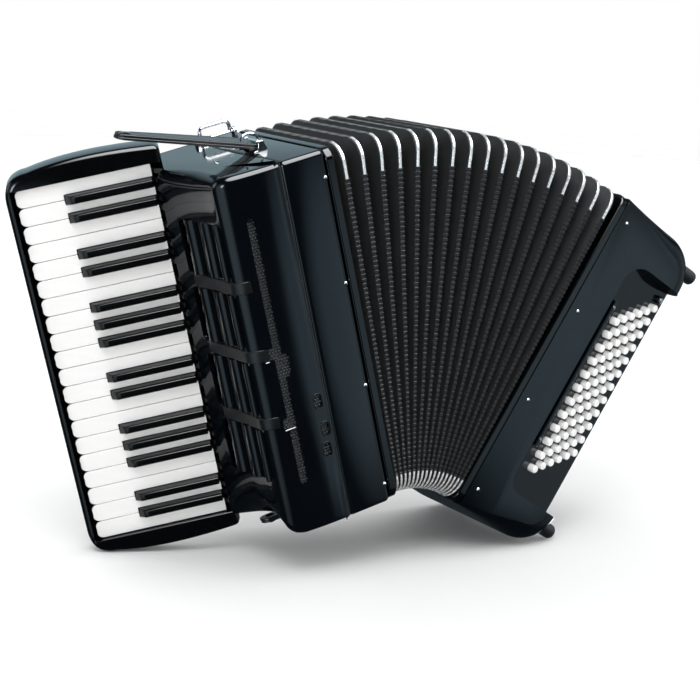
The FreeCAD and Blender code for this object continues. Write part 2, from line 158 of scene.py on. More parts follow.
def plasticWhite(name, color, rough):
    mat, tree, links, shader = newMaterial(name, color, rough, coat=0.6, coatRough=0.05)
    shader.inputs["Subsurface Weight"].default_value = 0.08
    shader.inputs["Subsurface Radius"].default_value = (0.004, 0.004, 0.003)
    vector = objectCoords(tree, links, (1, 1, 6))
    grain = noiseOn(tree, links, vector, 30, 5)
    links.new(tint(tree, links, grain.outputs["Fac"], color, tuple(min(1, c * 1.03) for c in color)),
              shader.inputs["Base Color"])
    links.new(spread(tree, links, grain.outputs["Fac"], rough * 0.8, rough * 1.3), shader.inputs["Roughness"])
    return mat


def metal(name, color, rough, scratch=(1, 1, 1), share=1.0):
    mat, tree, links, shader = newMaterial(name, color, rough, metal=share)
    vector = objectCoords(tree, links, scratch)
    grain = noiseOn(tree, links, vector, 260, 3)
    links.new(spread(tree, links, grain.outputs["Fac"], rough * 0.6, rough * 1.6), shader.inputs["Roughness"])
    bumped(tree, links, shader, grain.outputs["Fac"], 0.05, 0.0002)
    return mat


def hide(name, color, rough, scale):
    mat, tree, links, shader = newMaterial(name, color, rough, coat=0.15, coatRough=0.3, sheen=0.05)
    vector = objectCoords(tree, links)
    cells = tree.new("ShaderNodeTexVoronoi")
    cells.feature = "DISTANCE_TO_EDGE"
    cells.inputs["Scale"].default_value = scale
    links.new(vector, cells.inputs["Vector"])
    cloud = noiseOn(tree, links, vector, 40, 5)
    links.new(tint(tree, links, cloud.outputs["Fac"], color, tuple(c * 1.9 for c in color)),
              shader.inputs["Base Color"])
    links.new(spread(tree, links, cloud.outputs["Fac"], rough * 0.8, rough * 1.2), shader.inputs["Roughness"])
    bumped(tree, links, shader, cells.outputs["Distance"], 0.35, 0.0006)
    return mat


def woven(name, color, rough, scale, depth):
    mat, tree, links, shader = newMaterial(name, color, rough, sheen=0.1)
    vector = objectCoords(tree, links)
    weave = tree.new("ShaderNodeTexWave")
    weave.bands_direction = "Y"
    weave.inputs["Scale"].default_value = scale
    weave.inputs["Distortion"].default_value = 0.6
    links.new(vector, weave.inputs["Vector"])
    across = tree.new("ShaderNodeTexWave")
    across.bands_direction = "Z"
    across.inputs["Scale"].default_value = scale
    across.inputs["Distortion"].default_value = 0.6
    links.new(vector, across.inputs["Vector"])
    both = tree.new("ShaderNodeMath")
    both.operation = "MULTIPLY"
    links.new(weave.outputs["Fac"], both.inputs[0])
    links.new(across.outputs["Fac"], both.inputs[1])
    cloud = noiseOn(tree, links, vector, 60, 4)
    links.new(tint(tree, links, cloud.outputs["Fac"], color, tuple(c * 1.8 for c in color)),
              shader.inputs["Base Color"])
    bumped(tree, links, shader, both.outputs[0], 0.5, depth)
    return mat


def timber(name, color):
    mat, tree, links, shader = newMaterial(name, color, 0.55)
    vector = objectCoords(tree, links, (1, 1, 9))
    grain = noiseOn(tree, links, vector, 90, 6, 0.65)
    links.new(tint(tree, links, grain.outputs["Fac"], tuple(c * 0.7 for c in color), color),
              shader.inputs["Base Color"])
    bumped(tree, links, shader, grain.outputs["Fac"], 0.2, 0.0003)
    return mat


caseLacquer = lacquer("caseLacquer", (0.0008, 0.0015, 0.0024))
frameLacquer = lacquer("frameLacquer", (0.0008, 0.0009, 0.0011))
bandLacquer = lacquer("bandLacquer", (0.0018, 0.0026, 0.003), 0.3)
keyWhite = plasticWhite("keyWhite", (0.88, 0.88, 0.87), 0.16)
buttonWhite = plasticWhite("buttonWhite", (0.86, 0.86, 0.85), 0.22)
keyBlack = lacquer("keyBlack", (0.0012, 0.0012, 0.0014), 0.12)
chrome = metal("chrome", (0.66, 0.67, 0.69), 0.10)
bandNickel = metal("bandNickel", (0.88, 0.88, 0.87), 0.24, share=0.6)
steel = metal("steel", (0.55, 0.56, 0.58), 0.28, (1, 1, 0.1))
meshMetal = metal("meshMetal", (0.26, 0.27, 0.28), 0.16)
strapLeather = hide("strapLeather", (0.003, 0.003, 0.0035), 0.3, 700)
foldCloth = woven("foldCloth", (0.0005, 0.0005, 0.0006), 0.5, 320, 0.0004)
tapeCloth = woven("tapeCloth", (0.004, 0.004, 0.0046), 0.3, 500, 0.0005)
threadBlack = woven("threadBlack", (0.02, 0.02, 0.022), 0.6, 900, 0.0002)
rubber = hide("rubber", (0.003, 0.003, 0.0034), 0.45, 900)
stickWood = timber("stickWood", (0.30, 0.20, 0.11))
stickDark = timber("stickDark", (0.010, 0.008, 0.007))
feltRed = woven("feltRed", (0.16, 0.02, 0.02), 0.9, 600, 0.0006)
darkCloth = woven("darkCloth", (0.0006, 0.0006, 0.0008), 0.8, 700, 0.0003)
print("materials made")


# mesh helpers
def piece(name, verts, faces, place, mats, picks=None, angle=35, body=None, nodeNames=(), slot=None):
    mesh = bpy.data.meshes.new(name)
    mesh.from_pydata([place @ Vector(v) for v in verts], [], faces)
    for mat in mats:
        mesh.materials.append(mat)
    if picks is not None:
        mesh.polygons.foreach_set("material_index", picks)
    finishMesh(mesh, angle)
    obj = bpy.data.objects.new(name, mesh)
    bpy.context.collection.objects.link(obj)
    return settle(obj, body, nodeNames)


def finishMesh(mesh, angle):
    work = bmesh.new()
    work.from_mesh(mesh)
    bmesh.ops.recalc_face_normals(work, faces=work.faces)
    work.to_mesh(mesh)
    work.free()
    mesh.polygons.foreach_set("use_smooth", [True] * len(mesh.polygons))
    mesh.set_sharp_from_angle(angle=math.radians(angle))


def settle(obj, body, nodeNames):
    if body:
        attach(obj, body)
    if nodeNames:
        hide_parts(*nodeNames)
    return obj


def bevel(obj, width, segments=3, angle=40):
    mod = obj.modifiers.new("edge", "BEVEL")
    mod.width = width * millimetre
    mod.segments = segments
    mod.limit_method = "ANGLE"
    mod.angle_limit = math.radians(angle)
    return obj


def baked(obj):
    bpy.context.view_layer.update()
    view = obj.evaluated_get(bpy.context.evaluated_depsgraph_get())
    mesh = bpy.data.meshes.new_from_object(view)
    obj.modifiers.clear()
    obj.data = mesh
    return obj


def carve(obj, cutters):
    for cutter in cutters:
        mod = obj.modifiers.new("cut", "BOOLEAN")
        mod.operation = "DIFFERENCE"
        mod.solver = "EXACT"
        mod.object = cutter
    baked(obj)
    for cutter in cutters:
        bpy.data.objects.remove(cutter)
    return obj


def arc(centre, radius, first, last, steps):
    return [(centre[0] + radius * math.cos(math.radians(first + (last - first) * k / steps)),
             centre[1] + radius * math.sin(math.radians(first + (last - first) * k / steps)))
            for k in range(steps + 1)]


def line(first, last, steps):
    return [(first[0] + (last[0] - first[0]) * k / steps, first[1] + (last[1] - first[1]) * k / steps)
            for k in range(steps + 1)]


def bend(first, middle, last, steps):
    a, b, c = Vector(first), Vector(middle), Vector(last)
    control = b * 2 - (a + c) / 2
    return [tuple(a * (1 - t) ** 2 + control * 2 * t * (1 - t) + c * t * t)
            for t in (k / steps for k in range(steps + 1))]


def roundedBox(low, top, radius, steps=4):
    (x0, y0), (x1, y1) = low, top
    r = radius
    return (arc((x1 - r, y0 + r), r, -90, 0, steps) + arc((x1 - r, y1 - r), r, 0, 90, steps)
            + arc((x0 + r, y1 - r), r, 90, 180, steps) + arc((x0 + r, y0 + r), r, 180, 270, steps))


# an outline in two axes, pushed along the third
def prism(outline, low, top, along):
    def spot(p, h):
        return {"x": (h, p[0], p[1]), "y": (p[0], h, p[1]), "z": (p[0], p[1], h)}[along]
    count = len(outline)
    verts = [spot(p, low) for p in outline] + [spot(p, top) for p in outline]
    faces = [tuple(range(count)), tuple(range(2 * count - 1, count - 1, -1))]
    faces += [(k, (k + 1) % count, (k + 1) % count + count, k + count) for k in range(count)]
    return verts, faces


def block(low, top):
    corners = [(low[0], low[1]), (top[0], low[1]), (top[0], top[1]), (low[0], top[1])]
    return prism(corners, low[2], top[2], "z")


def lathe(profile, along="y", segments=20):
    verts, faces = [], []
    for h, r in profile:
        for k in range(segments):
            a, b = r * math.cos(2 * math.pi * k / segments), r * math.sin(2 * math.pi * k / segments)
            verts.append({"x": (h, a, b), "y": (a, h, b), "z": (a, b, h)}[along])
    for ring in range(len(profile) - 1):
        for k in range(segments):
            m = (k + 1) % segments
            faces.append((ring * segments + k, ring * segments + m,
                          (ring + 1) * segments + m, (ring + 1) * segments + k))
    faces.append(tuple(range(segments)))
    faces.append(tuple(range(len(verts) - 1, len(verts) - 1 - segments, -1)))
    return verts, faces


def moved(shape, shift):
    return [tuple(Vector(v) + Vector(shift)) for v in shape[0]], shape[1]


def together(*shapes):
    verts, faces, picks = [], [], []
    for number, shape in enumerate(shapes):
        base = len(verts)
        verts += shape[0]
        faces += [tuple(i + base for i in f) for f in shape[1]]
        picks += [shape[2] if len(shape) > 2 else 0] * len(shape[1])
    return verts, faces, picks


# a round wire along a path of points
def wire(points, radius, sides=8, closed=False):
    pts = [Vector(p) for p in points]
    count = len(pts)
    verts, faces = [], []
    side = None
    for k, p in enumerate(pts):
        ahead = pts[(k + 1) % count] if closed or k < count - 1 else p
        behind = pts[k - 1] if closed or k else p
        tangent = (ahead - behind).normalized()
        if side is None:
            side = tangent.cross(Vector((0.3, 0.5, 0.8))).normalized()
        side = (side - tangent * side.dot(tangent)).normalized()
        other = tangent.cross(side)
        for m in range(sides):
            a = 2 * math.pi * m / sides
            verts.append(tuple(p + side * radius * math.cos(a) + other * radius * math.sin(a)))
    for k in range(count if closed else count - 1):
        n = (k + 1) % count
        for m in range(sides):
            q = (m + 1) % sides
            faces.append((k * sides + m, k * sides + q, n * sides + q, n * sides + m))
    if not closed:
        faces.append(tuple(range(sides)))
        faces.append(tuple(range(len(verts) - 1, len(verts) - 1 - sides, -1)))
    return verts, faces


def repaint(nodeName, mat):
    nodes[nodeName].data.materials.clear()
    nodes[nodeName].data.materials.append(mat)


# geometry node trees
def startTree(name, inputs):
    tree = bpy.data.node_groups.new(name, "GeometryNodeTree")
    tree.interface.new_socket("Geometry", in_out="INPUT", socket_type="NodeSocketGeometry")
    for label, kind, value in inputs:
        socket = tree.interface.new_socket(label, in_out="INPUT", socket_type="NodeSocket" + kind)
        if value is not None:
            socket.default_value = value
    tree.interface.new_socket("Geometry", in_out="OUTPUT", socket_type="NodeSocketGeometry")
    entry = tree.nodes.new("NodeGroupInput")
    leave = tree.nodes.new("NodeGroupOutput")
    return tree, entry, leave


def finishTree(tree, entry, leave, instances):
    solid = tree.nodes.new("GeometryNodeRealizeInstances")
    paint = tree.nodes.new("GeometryNodeSetMaterial")
    tree.links.new(instances, solid.inputs["Geometry"])
    tree.links.new(solid.outputs["Geometry"], paint.inputs["Geometry"])
    tree.links.new(entry.outputs["Finish"], paint.inputs["Material"])
    tree.links.new(paint.outputs["Geometry"], leave.inputs["Geometry"])
    return tree


def runTree(tree, name, verts, edges, faces, values, angle=40):
    mesh = bpy.data.meshes.new(name)
    mesh.from_pydata(verts, edges, faces)
    for label, data in values.pop("attributes", {}).items():
        mesh.attributes.new(label, "FLOAT", "POINT").data.foreach_set("value", data)
    obj = bpy.data.objects.new(name, mesh)
    bpy.context.collection.objects.link(obj)
    mod = obj.modifiers.new("nodes", "NODES")
    mod.node_group = tree
    for item in tree.interface.items_tree:
        if item.item_type == "SOCKET" and item.in_out == "INPUT" and item.name in values:
            mod[item.identifier] = values[item.name]
    baked(obj)
    return obj


# copies of one shape on every vertex
def copiesTree():
    tree, entry, leave = startTree("copiesOnPoints", [
        ("Shape", "Object", None), ("Size", "Float", 1.0), ("Turn", "Vector", (0, 0, 0)),
        ("Finish", "Material", None)])
    info = tree.nodes.new("GeometryNodeObjectInfo")
    spotCopies = tree.nodes.new("GeometryNodeInstanceOnPoints")
    tree.links.new(entry.outputs["Shape"], info.inputs["Object"])
    tree.links.new(entry.outputs["Geometry"], spotCopies.inputs["Points"])
    tree.links.new(info.outputs["Geometry"], spotCopies.inputs["Instance"])
    tree.links.new(entry.outputs["Size"], spotCopies.inputs["Scale"])
    tree.links.new(entry.outputs["Turn"], spotCopies.inputs["Rotation"])
    return finishTree(tree, entry, leave, spotCopies.outputs["Instances"])


# bars laid across a path at an even spacing, as wide as the path's own width value
def rungsTree():
    tree, entry, leave = startTree("rungsAlongPath", [
        ("Shape", "Object", None), ("Spacing", "Float", 4.5), ("Across", "Vector", (1, 0, 0)),
        ("Finish", "Material", None)])
    info = tree.nodes.new("GeometryNodeObjectInfo")
    curve = tree.nodes.new("GeometryNodeMeshToCurve")
    even = tree.nodes.new("GeometryNodeResampleCurve")
    even.mode = "LENGTH"
    tangent = tree.nodes.new("GeometryNodeInputTangent")
    first = tree.nodes.new("FunctionNodeAlignRotationToVector")
    first.axis = "Y"
    second = tree.nodes.new("FunctionNodeAlignRotationToVector")
    second.axis = "X"
    second.pivot_axis = "Y"
    wide = tree.nodes.new("GeometryNodeInputNamedAttribute")
    wide.data_type = "FLOAT"
    wide.inputs["Name"].default_value = "halfWidth"
    scale = tree.nodes.new("ShaderNodeCombineXYZ")
    scale.inputs["Y"].default_value = 1
    scale.inputs["Z"].default_value = 1
    spotCopies = tree.nodes.new("GeometryNodeInstanceOnPoints")
    link = tree.links.new
    link(entry.outputs["Shape"], info.inputs["Object"])
    link(entry.outputs["Geometry"], curve.inputs["Mesh"])
    link(curve.outputs["Curve"], even.inputs["Curve"])
    link(entry.outputs["Spacing"], even.inputs["Length"])
    link(tangent.outputs["Tangent"], first.inputs["Vector"])
    link(first.outputs["Rotation"], second.inputs["Rotation"])
    link(entry.outputs["Across"], second.inputs["Vector"])
    link(wide.outputs["Attribute"], scale.inputs["X"])
    link(even.outputs["Curve"], spotCopies.inputs["Points"])
    link(info.outputs["Geometry"], spotCopies.inputs["Instance"])
    link(second.outputs["Rotation"], spotCopies.inputs["Rotation"])
    link(scale.outputs["Vector"], spotCopies.inputs["Scale"])
    return finishTree(tree, entry, leave, spotCopies.outputs["Instances"])


copies = copiesTree()
rungs = rungsTree()


def pattern(name, shape):
    mesh = bpy.data.meshes.new(name)
    mesh.from_pydata(shape[0], [], shape[1])
    finishMesh(mesh, 40)
    obj = bpy.data.objects.new(name, mesh)
    bpy.context.collection.objects.link(obj)
    return obj


def scattered(name, shape, points, place, mat, body=None, nodeNames=(), size=1.0, turn=(0, 0, 0)):
    source = pattern(name + "Pattern", shape)
    obj = runTree(copies, name, points, [], [], {"Shape": source, "Size": size, "Turn": turn, "Finish": mat})
    bpy.data.objects.remove(source)
    obj.data.transform(place)
    finishMesh(obj.data, 40)
    return settle(obj, body, nodeNames)


def joined(name, parts, body=None, nodeNames=()):
    with bpy.context.temp_override(active_object=parts[0], object=parts[0], selected_objects=parts,
                                   selected_editable_objects=parts):
        bpy.ops.object.join()
    parts[0].name = name
    mesh = parts[0].data
    for index in range(len(mesh.materials) - 1, -1, -1):
        if mesh.materials[index] is None:
            mesh.materials.pop(index=index)
    return settle(parts[0], body, nodeNames)


# camera, floor and light
view = {"azimuth": -30.26, "elevation": 11.42, "roll": 2.16, "distance": 2014.8, "focal": 100.25,
        "target": (-23.47, -9.3, 209.95)}
a, e, r = (math.radians(view[k]) for k in ("azimuth", "elevation", "roll"))
away = Vector((math.sin(a) * math.cos(e), -math.cos(a) * math.cos(e), math.sin(e)))
rightward = Vector((math.cos(a), math.sin(a), 0))
upward = rightward.cross(-away)
camRight = rightward * math.cos(r) + upward * math.sin(r)
camUp = upward * math.cos(r) - rightward * math.sin(r)
camSpot = (Vector(view["target"]) + away * view["distance"]) * millimetre
camData = bpy.data.cameras.new("camera")
camData.lens = view["focal"]
camData.sensor_width = 36
camData.clip_end = 60
camera = bpy.data.objects.new("camera", camData)
camera.matrix_world = Matrix((
    (camRight.x, camUp.x, away.x, camSpot.x), (camRight.y, camUp.y, away.y, camSpot.y),
    (camRight.z, camUp.z, away.z, camSpot.z), (0, 0, 0, 1)))
bpy.context.collection.objects.link(camera)
bpy.context.scene.camera = camera

# each lamp is a place in metres, a size and a power; they aim at the middle of the object
studio = {"floorSize": 16.0, "floorTone": 0.9, "fade": (1.6, 6.0), "aim": (0, 0, 0.22),
          "roomDark": (0.02, 0.026, 0.032), "key": (-1.5, -2.0, 3.4, 1.8, 46),
          "fill": (2.4, -2.6, 2.0, 2.4, 10), "rim": (-0.4, 2.4, 2.6, 2.4, 16)}
half = studio["floorSize"] / 2
floorCorners = [(-half, -half, 0), (half, -half, 0), (half, half, 0), (-half, half, 0)]
floorMesh = bpy.data.meshes.new("floor")
floorMesh.from_pydata(floorCorners, [], [(0, 1, 2, 3)])
floor = bpy.data.objects.new("floor", floorMesh)
bpy.context.collection.objects.link(floor)
floorMat, floorTree, floorLinks, floorShader = newMaterial("floorPaper", (studio["floorTone"],) * 3, 0.8)
floorPlace = objectCoords(floorTree, floorLinks)
paper = noiseOn(floorTree, floorLinks, floorPlace, 4, 4)
floorLinks.new(tint(floorTree, floorLinks, paper.outputs["Fac"], (studio["floorTone"],) * 3,
                    (studio["floorTone"] + 0.01,) * 3), floorShader.inputs["Base Color"])
reach = floorTree.new("ShaderNodeVectorMath")
reach.operation = "LENGTH"
floorLinks.new(floorPlace, reach.inputs[0])
thin = floorTree.new("ShaderNodeMapRange")
thin.interpolation_type = "SMOOTHSTEP"
for label, value in zip(("From Min", "From Max", "To Min", "To Max"), (*studio["fade"], 1.0, 0.0)):
    thin.inputs[label].default_value = value
floorLinks.new(reach.outputs["Value"], thin.inputs["Value"])
floorLinks.new(thin.outputs["Result"], floorShader.inputs["Alpha"])
floorMesh.materials.append(floorMat)
floor.visible_glossy = False
floor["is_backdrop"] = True

# what polished faces reflect: soft boxes in a dark room, each a direction, an inner and an outer
# half-angle, a brightness and a tint
softBoxes = {
    "rightWall": ((0.55, -0.82, -0.16), 6, 14, 0.62, (0.68, 0.95, 1.12)),
    "rightGlow": ((0.93, -0.35, -0.1), 10, 40, 0.35, (0.80, 0.96, 1.06)),
    "leftStrip": ((-0.74, -0.66, -0.10), 5, 13, 8.0, (0.90, 1.0, 1.06)),
    "leftWall": ((-0.9, -0.40, -0.2), 14, 40, 0.75, (0.74, 0.95, 1.08)),
    "overhead": ((0.14, -0.48, 0.87), 30, 42, 11.0, (0.97, 1.0, 1.02)),
    "backSky": ((0.3, 0.86, 0.42), 14, 46, 0.60, (0.70, 0.97, 1.08)),
    "rightEdge": ((0.77, 0.52, -0.37), 5, 13, 6.0, (0.95, 1.0, 1.04)),
    "leftBack": ((-0.8, 0.55, 0.2), 6, 22, 1.6, (0.9, 1.0, 1.06)),
}
world = bpy.data.worlds.new("studio")
bpy.context.scene.world = world
world.use_nodes = True
sky, wires = world.node_tree.nodes, world.node_tree.links
compass = sky.new("ShaderNodeTexCoord")
total = None
for name, (aim, inner, outer, power, color) in softBoxes.items():
    facing = sky.new("ShaderNodeVectorMath")
    facing.operation = "DOT_PRODUCT"
    facing.inputs[1].default_value = Vector(aim).normalized()
    wires.new(compass.outputs["Generated"], facing.inputs[0])
    glow = sky.new("ShaderNodeMapRange")
    glow.interpolation_type = "SMOOTHSTEP"
    for label, value in zip(("From Min", "From Max", "To Min", "To Max"),
                            (math.cos(math.radians(outer)), math.cos(math.radians(inner)), 0.0, power)):
        glow.inputs[label].default_value = value
    wires.new(facing.outputs["Value"], glow.inputs["Value"])
    hue = sky.new("ShaderNodeVectorMath")
    hue.operation = "SCALE"
    hue.inputs[0].default_value = color
    wires.new(glow.outputs["Result"], hue.inputs["Scale"])
    if total is None:
        total = hue.outputs["Vector"]
    else:
        both = sky.new("ShaderNodeVectorMath")
        both.operation = "ADD"
        wires.new(total, both.inputs[0])
        wires.new(hue.outputs["Vector"], both.inputs[1])
        total = both.outputs["Vector"]
room = sky.new("ShaderNodeVectorMath")
room.operation = "ADD"
room.inputs[1].default_value = studio["roomDark"]
wires.new(total, room.inputs[0])
kind = sky.new("ShaderNodeLightPath")
choose = sky.new("ShaderNodeMix")
choose.data_type = "RGBA"
wires.new(kind.outputs["Is Glossy Ray"], choose.inputs[0])
choose.inputs[6].default_value = (1.0, 1.0, 1.0, 1)
wires.new(room.outputs["Vector"], choose.inputs[7])
wires.new(choose.outputs[2], sky["Background"].inputs["Color"])
sky["Background"].inputs["Strength"].default_value = 1.0
for name in ("key", "fill", "rim"):
    x, y, z, size, power = studio[name]
    data = bpy.data.lights.new(name, "AREA")
    data.shape = "SQUARE"
    data.size = size
    data.energy = power
    lamp = bpy.data.objects.new(name, data)
    lamp.location = (x, y, z)
    aim = Vector(studio["aim"]) - Vector((x, y, z))
    lamp.rotation_euler = aim.to_track_quat("-Z", "Y").to_euler()
    lamp.visible_glossy = False
    bpy.context.collection.objects.link(lamp)
bpy.context.scene.view_settings.view_transform = "Standard"
print("camera, floor and light set")

# treble casing
caseSize = {"width": 48.0, "wall": 5.0, "edge": 5.0, "seamWall": 6.0, "backOuter": -116.0, "backThick": 6.0,
            "backGap": 0.3, "inset": 0.2}
outer = block((-caseSize["width"], 0, 0), (0, deep, high))
case = piece("trebleCase", *outer, trebleFrame, [caseLacquer])
bevel(case, caseSize["edge"], 6)
baked(case)
wall = caseSize["wall"]
hollow = piece("hollow", *block((-caseSize["width"] + caseSize["seamWall"], wall, wall),
                                (10, deep - wall, high - wall)), trebleFrame, [])
carve(case, [hollow])
finishMesh(case.data, 30)
settle(case, "treble_section", ["treble_casing"])
inset = caseSize["inset"]
back = piece("trebleBack", *block((caseSize["backOuter"], deep - caseSize["backThick"], inset),
                                  (-caseSize["width"] - caseSize["backGap"], deep, high - inset)),
             trebleFrame, [caseLacquer], body="treble_section", slot="gloss_black")
bevel(back, 1.5)
piece("seamBead", *block((-caseSize["width"] - 1.1, 1.2, 1.5),
                         (-caseSize["width"] + 0.4, deep - 7, high - 1.5)),
      trebleFrame, [rubber], body="treble_section", slot="rubber_black")
print("treble casing made")

# grille cover
cover = {"seam": -48.9, "wall": 3.0, "backX": -104.0, "backGap": 6.4, "roundSteps": 8}
skinLine = [(cover["seam"], 1.6), (cover["seam"] - 0.5, 0.5), (cover["seam"] - 1.6, 0.0)]
skinLine += [(-57, 0.0), (-64, 0.02), (-70, 0.25), (-76, 0.65), (-82, 1.15), (-88, 1.8), (-93, 2.45)]
skinLine += bend((-97, 3.1), (-108.8, 7.6), (-114.4, 16), 10)
skinLine += bend((-114.8, 20), (-117.6, 62), (-127.5, 110), 14)
ends = {"low": [(0, 4), (9, 5), (17, 18), (24, 46), (28, 30), (31, 7)],
        "high": [(0, 5), (9, 6), (17, 11), (24, 15), (28, 14), (31, 9)]}


def endRadius(which, index):
    table = ends[which]
    at = index * 31 / (len(skinLine) - 1)
    return float(np.interp(at, [p[0] for p in table], [p[1] for p in table]))


def coverSkin():
    line = [Vector(p) for p in skinLine]
    rows = []
    for index, p in enumerate(line):
        ahead, behind = line[min(index + 1, len(line) - 1)], line[max(index - 1, 0)]
        run = (ahead - behind).normalized()
        inward = Vector((-run.y, run.x)) * -1
        if inward.dot(Vector((-85, 60)) - p) < 0:
            inward = -inward
        row = []
        for which in ("low", "high"):
            radius = endRadius(which, index)
            part = []
            for k in range(cover["roundSteps"] + 1):
                angle = math.radians(90 * k / cover["roundSteps"])
                inset = radius * (1 - math.sin(angle))
                z = radius * (1 - math.cos(angle))
                q = p + inward * inset
                part.append((q.x, q.y, z if which == "low" else high - z))
            row += part if which == "low" else part[::-1]
        rows.append(row)
    across = len(rows[0])
    verts = [v for row in rows for v in row]
    faces = []
    for index in range(len(rows) - 1):
        for k in range(across - 1):
            faces.append((index * across + k, (index + 1) * across + k,
                          (index + 1) * across + k + 1, index * across + k + 1))
    for k in (0, across - 1):
        edge = [index * across + k for index in range(len(rows))]
        base = len(verts)
        z = 0.0 if k == 0 else high
        verts.append((cover["backX"], deep - cover["backGap"], z))
        verts.append((cover["seam"], deep - cover["backGap"], z))
        loop = edge + [base, base + 1]
        faces.append(tuple(loop))
    return verts, faces


coverPiece = piece("grilleCover", *coverSkin(), trebleFrame, [caseLacquer], angle=50)
solidify = coverPiece.modifiers.new("wall", "SOLIDIFY")
solidify.thickness = cover["wall"] * millimetre
solidify.offset = -1
baked(coverPiece)

windows = {"count": 4, "low": 58.5, "tall": 54.0, "step": 69.7, "side": (15.5, 92.5), "corner": 4.0,
           "depth": (-140, -103)}
# patches are x from and to, then z from and to; openings are middles, all of one half-size and corner
strip = {"x": (-93.2, -84.8), "z": (52, 324), "corner": 4.0, "depth": (-5, 9),
         "patches": ((-103, -84, 183, 195.5), (-93.5, -79, 163, 187), (-98, -84, 111, 122.5)),
         "patchCorner": 2.2, "patchDepth": (-5, 11),
         "openings": ((-58.5, 129), (-56.0, 99), (-58.5, 78)), "opening": (4.0, 7.0, 3.0),
         "openingDepth": (-5, 5)}
cutters = []
for index in range(windows["count"]):
    low = windows["low"] + index * windows["step"]
    outline = roundedBox((windows["side"][0], low), (windows["side"][1], low + windows["tall"]),
                         windows["corner"])
    cutters.append(piece("windowTool", *prism(outline, *windows["depth"], "x"), trebleFrame, []))
outline = roundedBox((strip["x"][0], strip["z"][0]), (strip["x"][1], strip["z"][1]), strip["corner"])
cutters.append(piece("stripTool", *prism(outline, *strip["depth"], "y"), trebleFrame, []))
for x0, x1, z0, z1 in strip["patches"]:
    outline = roundedBox((x0, z0), (x1, z1), strip["patchCorner"])
    cutters.append(piece("patchTool", *prism(outline, *strip["patchDepth"], "y"), trebleFrame, []))
halfX, halfZ, corner = strip["opening"]


def aroundOpening(x, z, grow, steps=4):
    return roundedBox((x - halfX - grow, z - halfZ - grow), (x + halfX + grow, z + halfZ + grow),
                      corner + grow, steps)


for x, z in strip["openings"]:
    outline = aroundOpening(x, z, 0)
    cutters.append(piece("openingTool", *prism(outline, *strip["openingDepth"], "y"), trebleFrame, []))
carve(coverPiece, cutters)
finishMesh(coverPiece.data, 32)
settle(coverPiece, "treble_section", ["grille_cover"])
bevel(coverPiece, 0.5, 2, 60)


def faceX(y):
    line = skinLine[-15:]
    return float(np.interp(y, [p[1] for p in line], [p[0] for p in line]))


# rounded ribs in the windows, and the cross bands between the windows
ribs = {"spots": ((25.0, 5.2), (48.5, 8.3), (75.5, 8.3)), "rise": 4.2, "sink": 3.2, "overlap": 0.8,
        "steps": 12, "band": 6.0, "bandRise": 2.4, "bandUnder": 1.4}
shapes = []
for index in range(windows["count"]):
    low = windows["low"] + index * windows["step"]
    for y, halfRib in ribs["spots"]:
        x = faceX(y)
        slope = (faceX(y + 4) - faceX(y - 4)) / 8
        outline = []
        for k in range(ribs["steps"] + 1):
            t = -1 + 2 * k / ribs["steps"]
            arch = (ribs["rise"] + ribs["sink"]) * math.sqrt(max(0, 1 - t * t))
            outline.append((x + slope * t * halfRib - arch + ribs["sink"] + 0.6, y + t * halfRib))
        outline += [(x + 4.0 + slope * halfRib, y + halfRib), (x + 4.0 - slope * halfRib, y - halfRib)]
        shapes.append(prism(outline, low - ribs["overlap"], low + windows["tall"] + ribs["overlap"], "z"))
verts, faces, _ = together(*shapes)
grilleRibs = piece("grilleRibs", verts, faces, trebleFrame, [caseLacquer], body="treble_section",
                   slot="gloss_black", angle=50)
bevel(grilleRibs, 1.6, 4, 62)
bandLine = [Vector(p) for p in skinLine if (p[0] < -95 and p[1] < 95)]
shapes = []
for index in range(windows["count"] - 1):
    middle = windows["low"] + windows["step"] * (index + 1) - (windows["step"] - windows["tall"]) / 2
    outer, under = [], []
    for k, p in enumerate(bandLine):
        run = (bandLine[min(k + 1, len(bandLine) - 1)] - bandLine[max(k - 1, 0)]).normalized()
        outward = Vector((run.y, -run.x))
        if outward.x > 0:
            outward = -outward
        share = k / (len(bandLine) - 1)
        rise = ribs["bandRise"] * min(1, 1.6 * share, 6 * (1 - share)) - 0.25
        outer.append(tuple(p + outward * rise))
        under.append(tuple(p - outward * ribs["bandUnder"]))
    count = len(outer)
    verts = [(x, y, z) for z in (middle - ribs["band"], middle + ribs["band"]) for x, y in outer + under]
    faces = []
    for k in range(count - 1):
        faces += [(k, k + 1, k + 1 + 2 * count, k + 2 * count),
                  (count + k, count + k + 2 * count, count + k + 1 + 2 * count, count + k + 1),
                  (k, count + k, count + k + 1, k + 1),
                  (k + 2 * count, k + 1 + 2 * count, count + k + 1 + 2 * count, count + k + 2 * count)]
    for k in (0, count - 1):
        faces.append((k, k + 2 * count, k + 3 * count, k + count))
    shapes.append((verts, faces))
verts, faces, _ = together(*shapes)
crossBands = piece("crossBands", verts, faces, trebleFrame, [bandLacquer], body="treble_section",
                   slot="gloss_black", angle=30)
bevel(crossBands, 0.9, 3, 60)

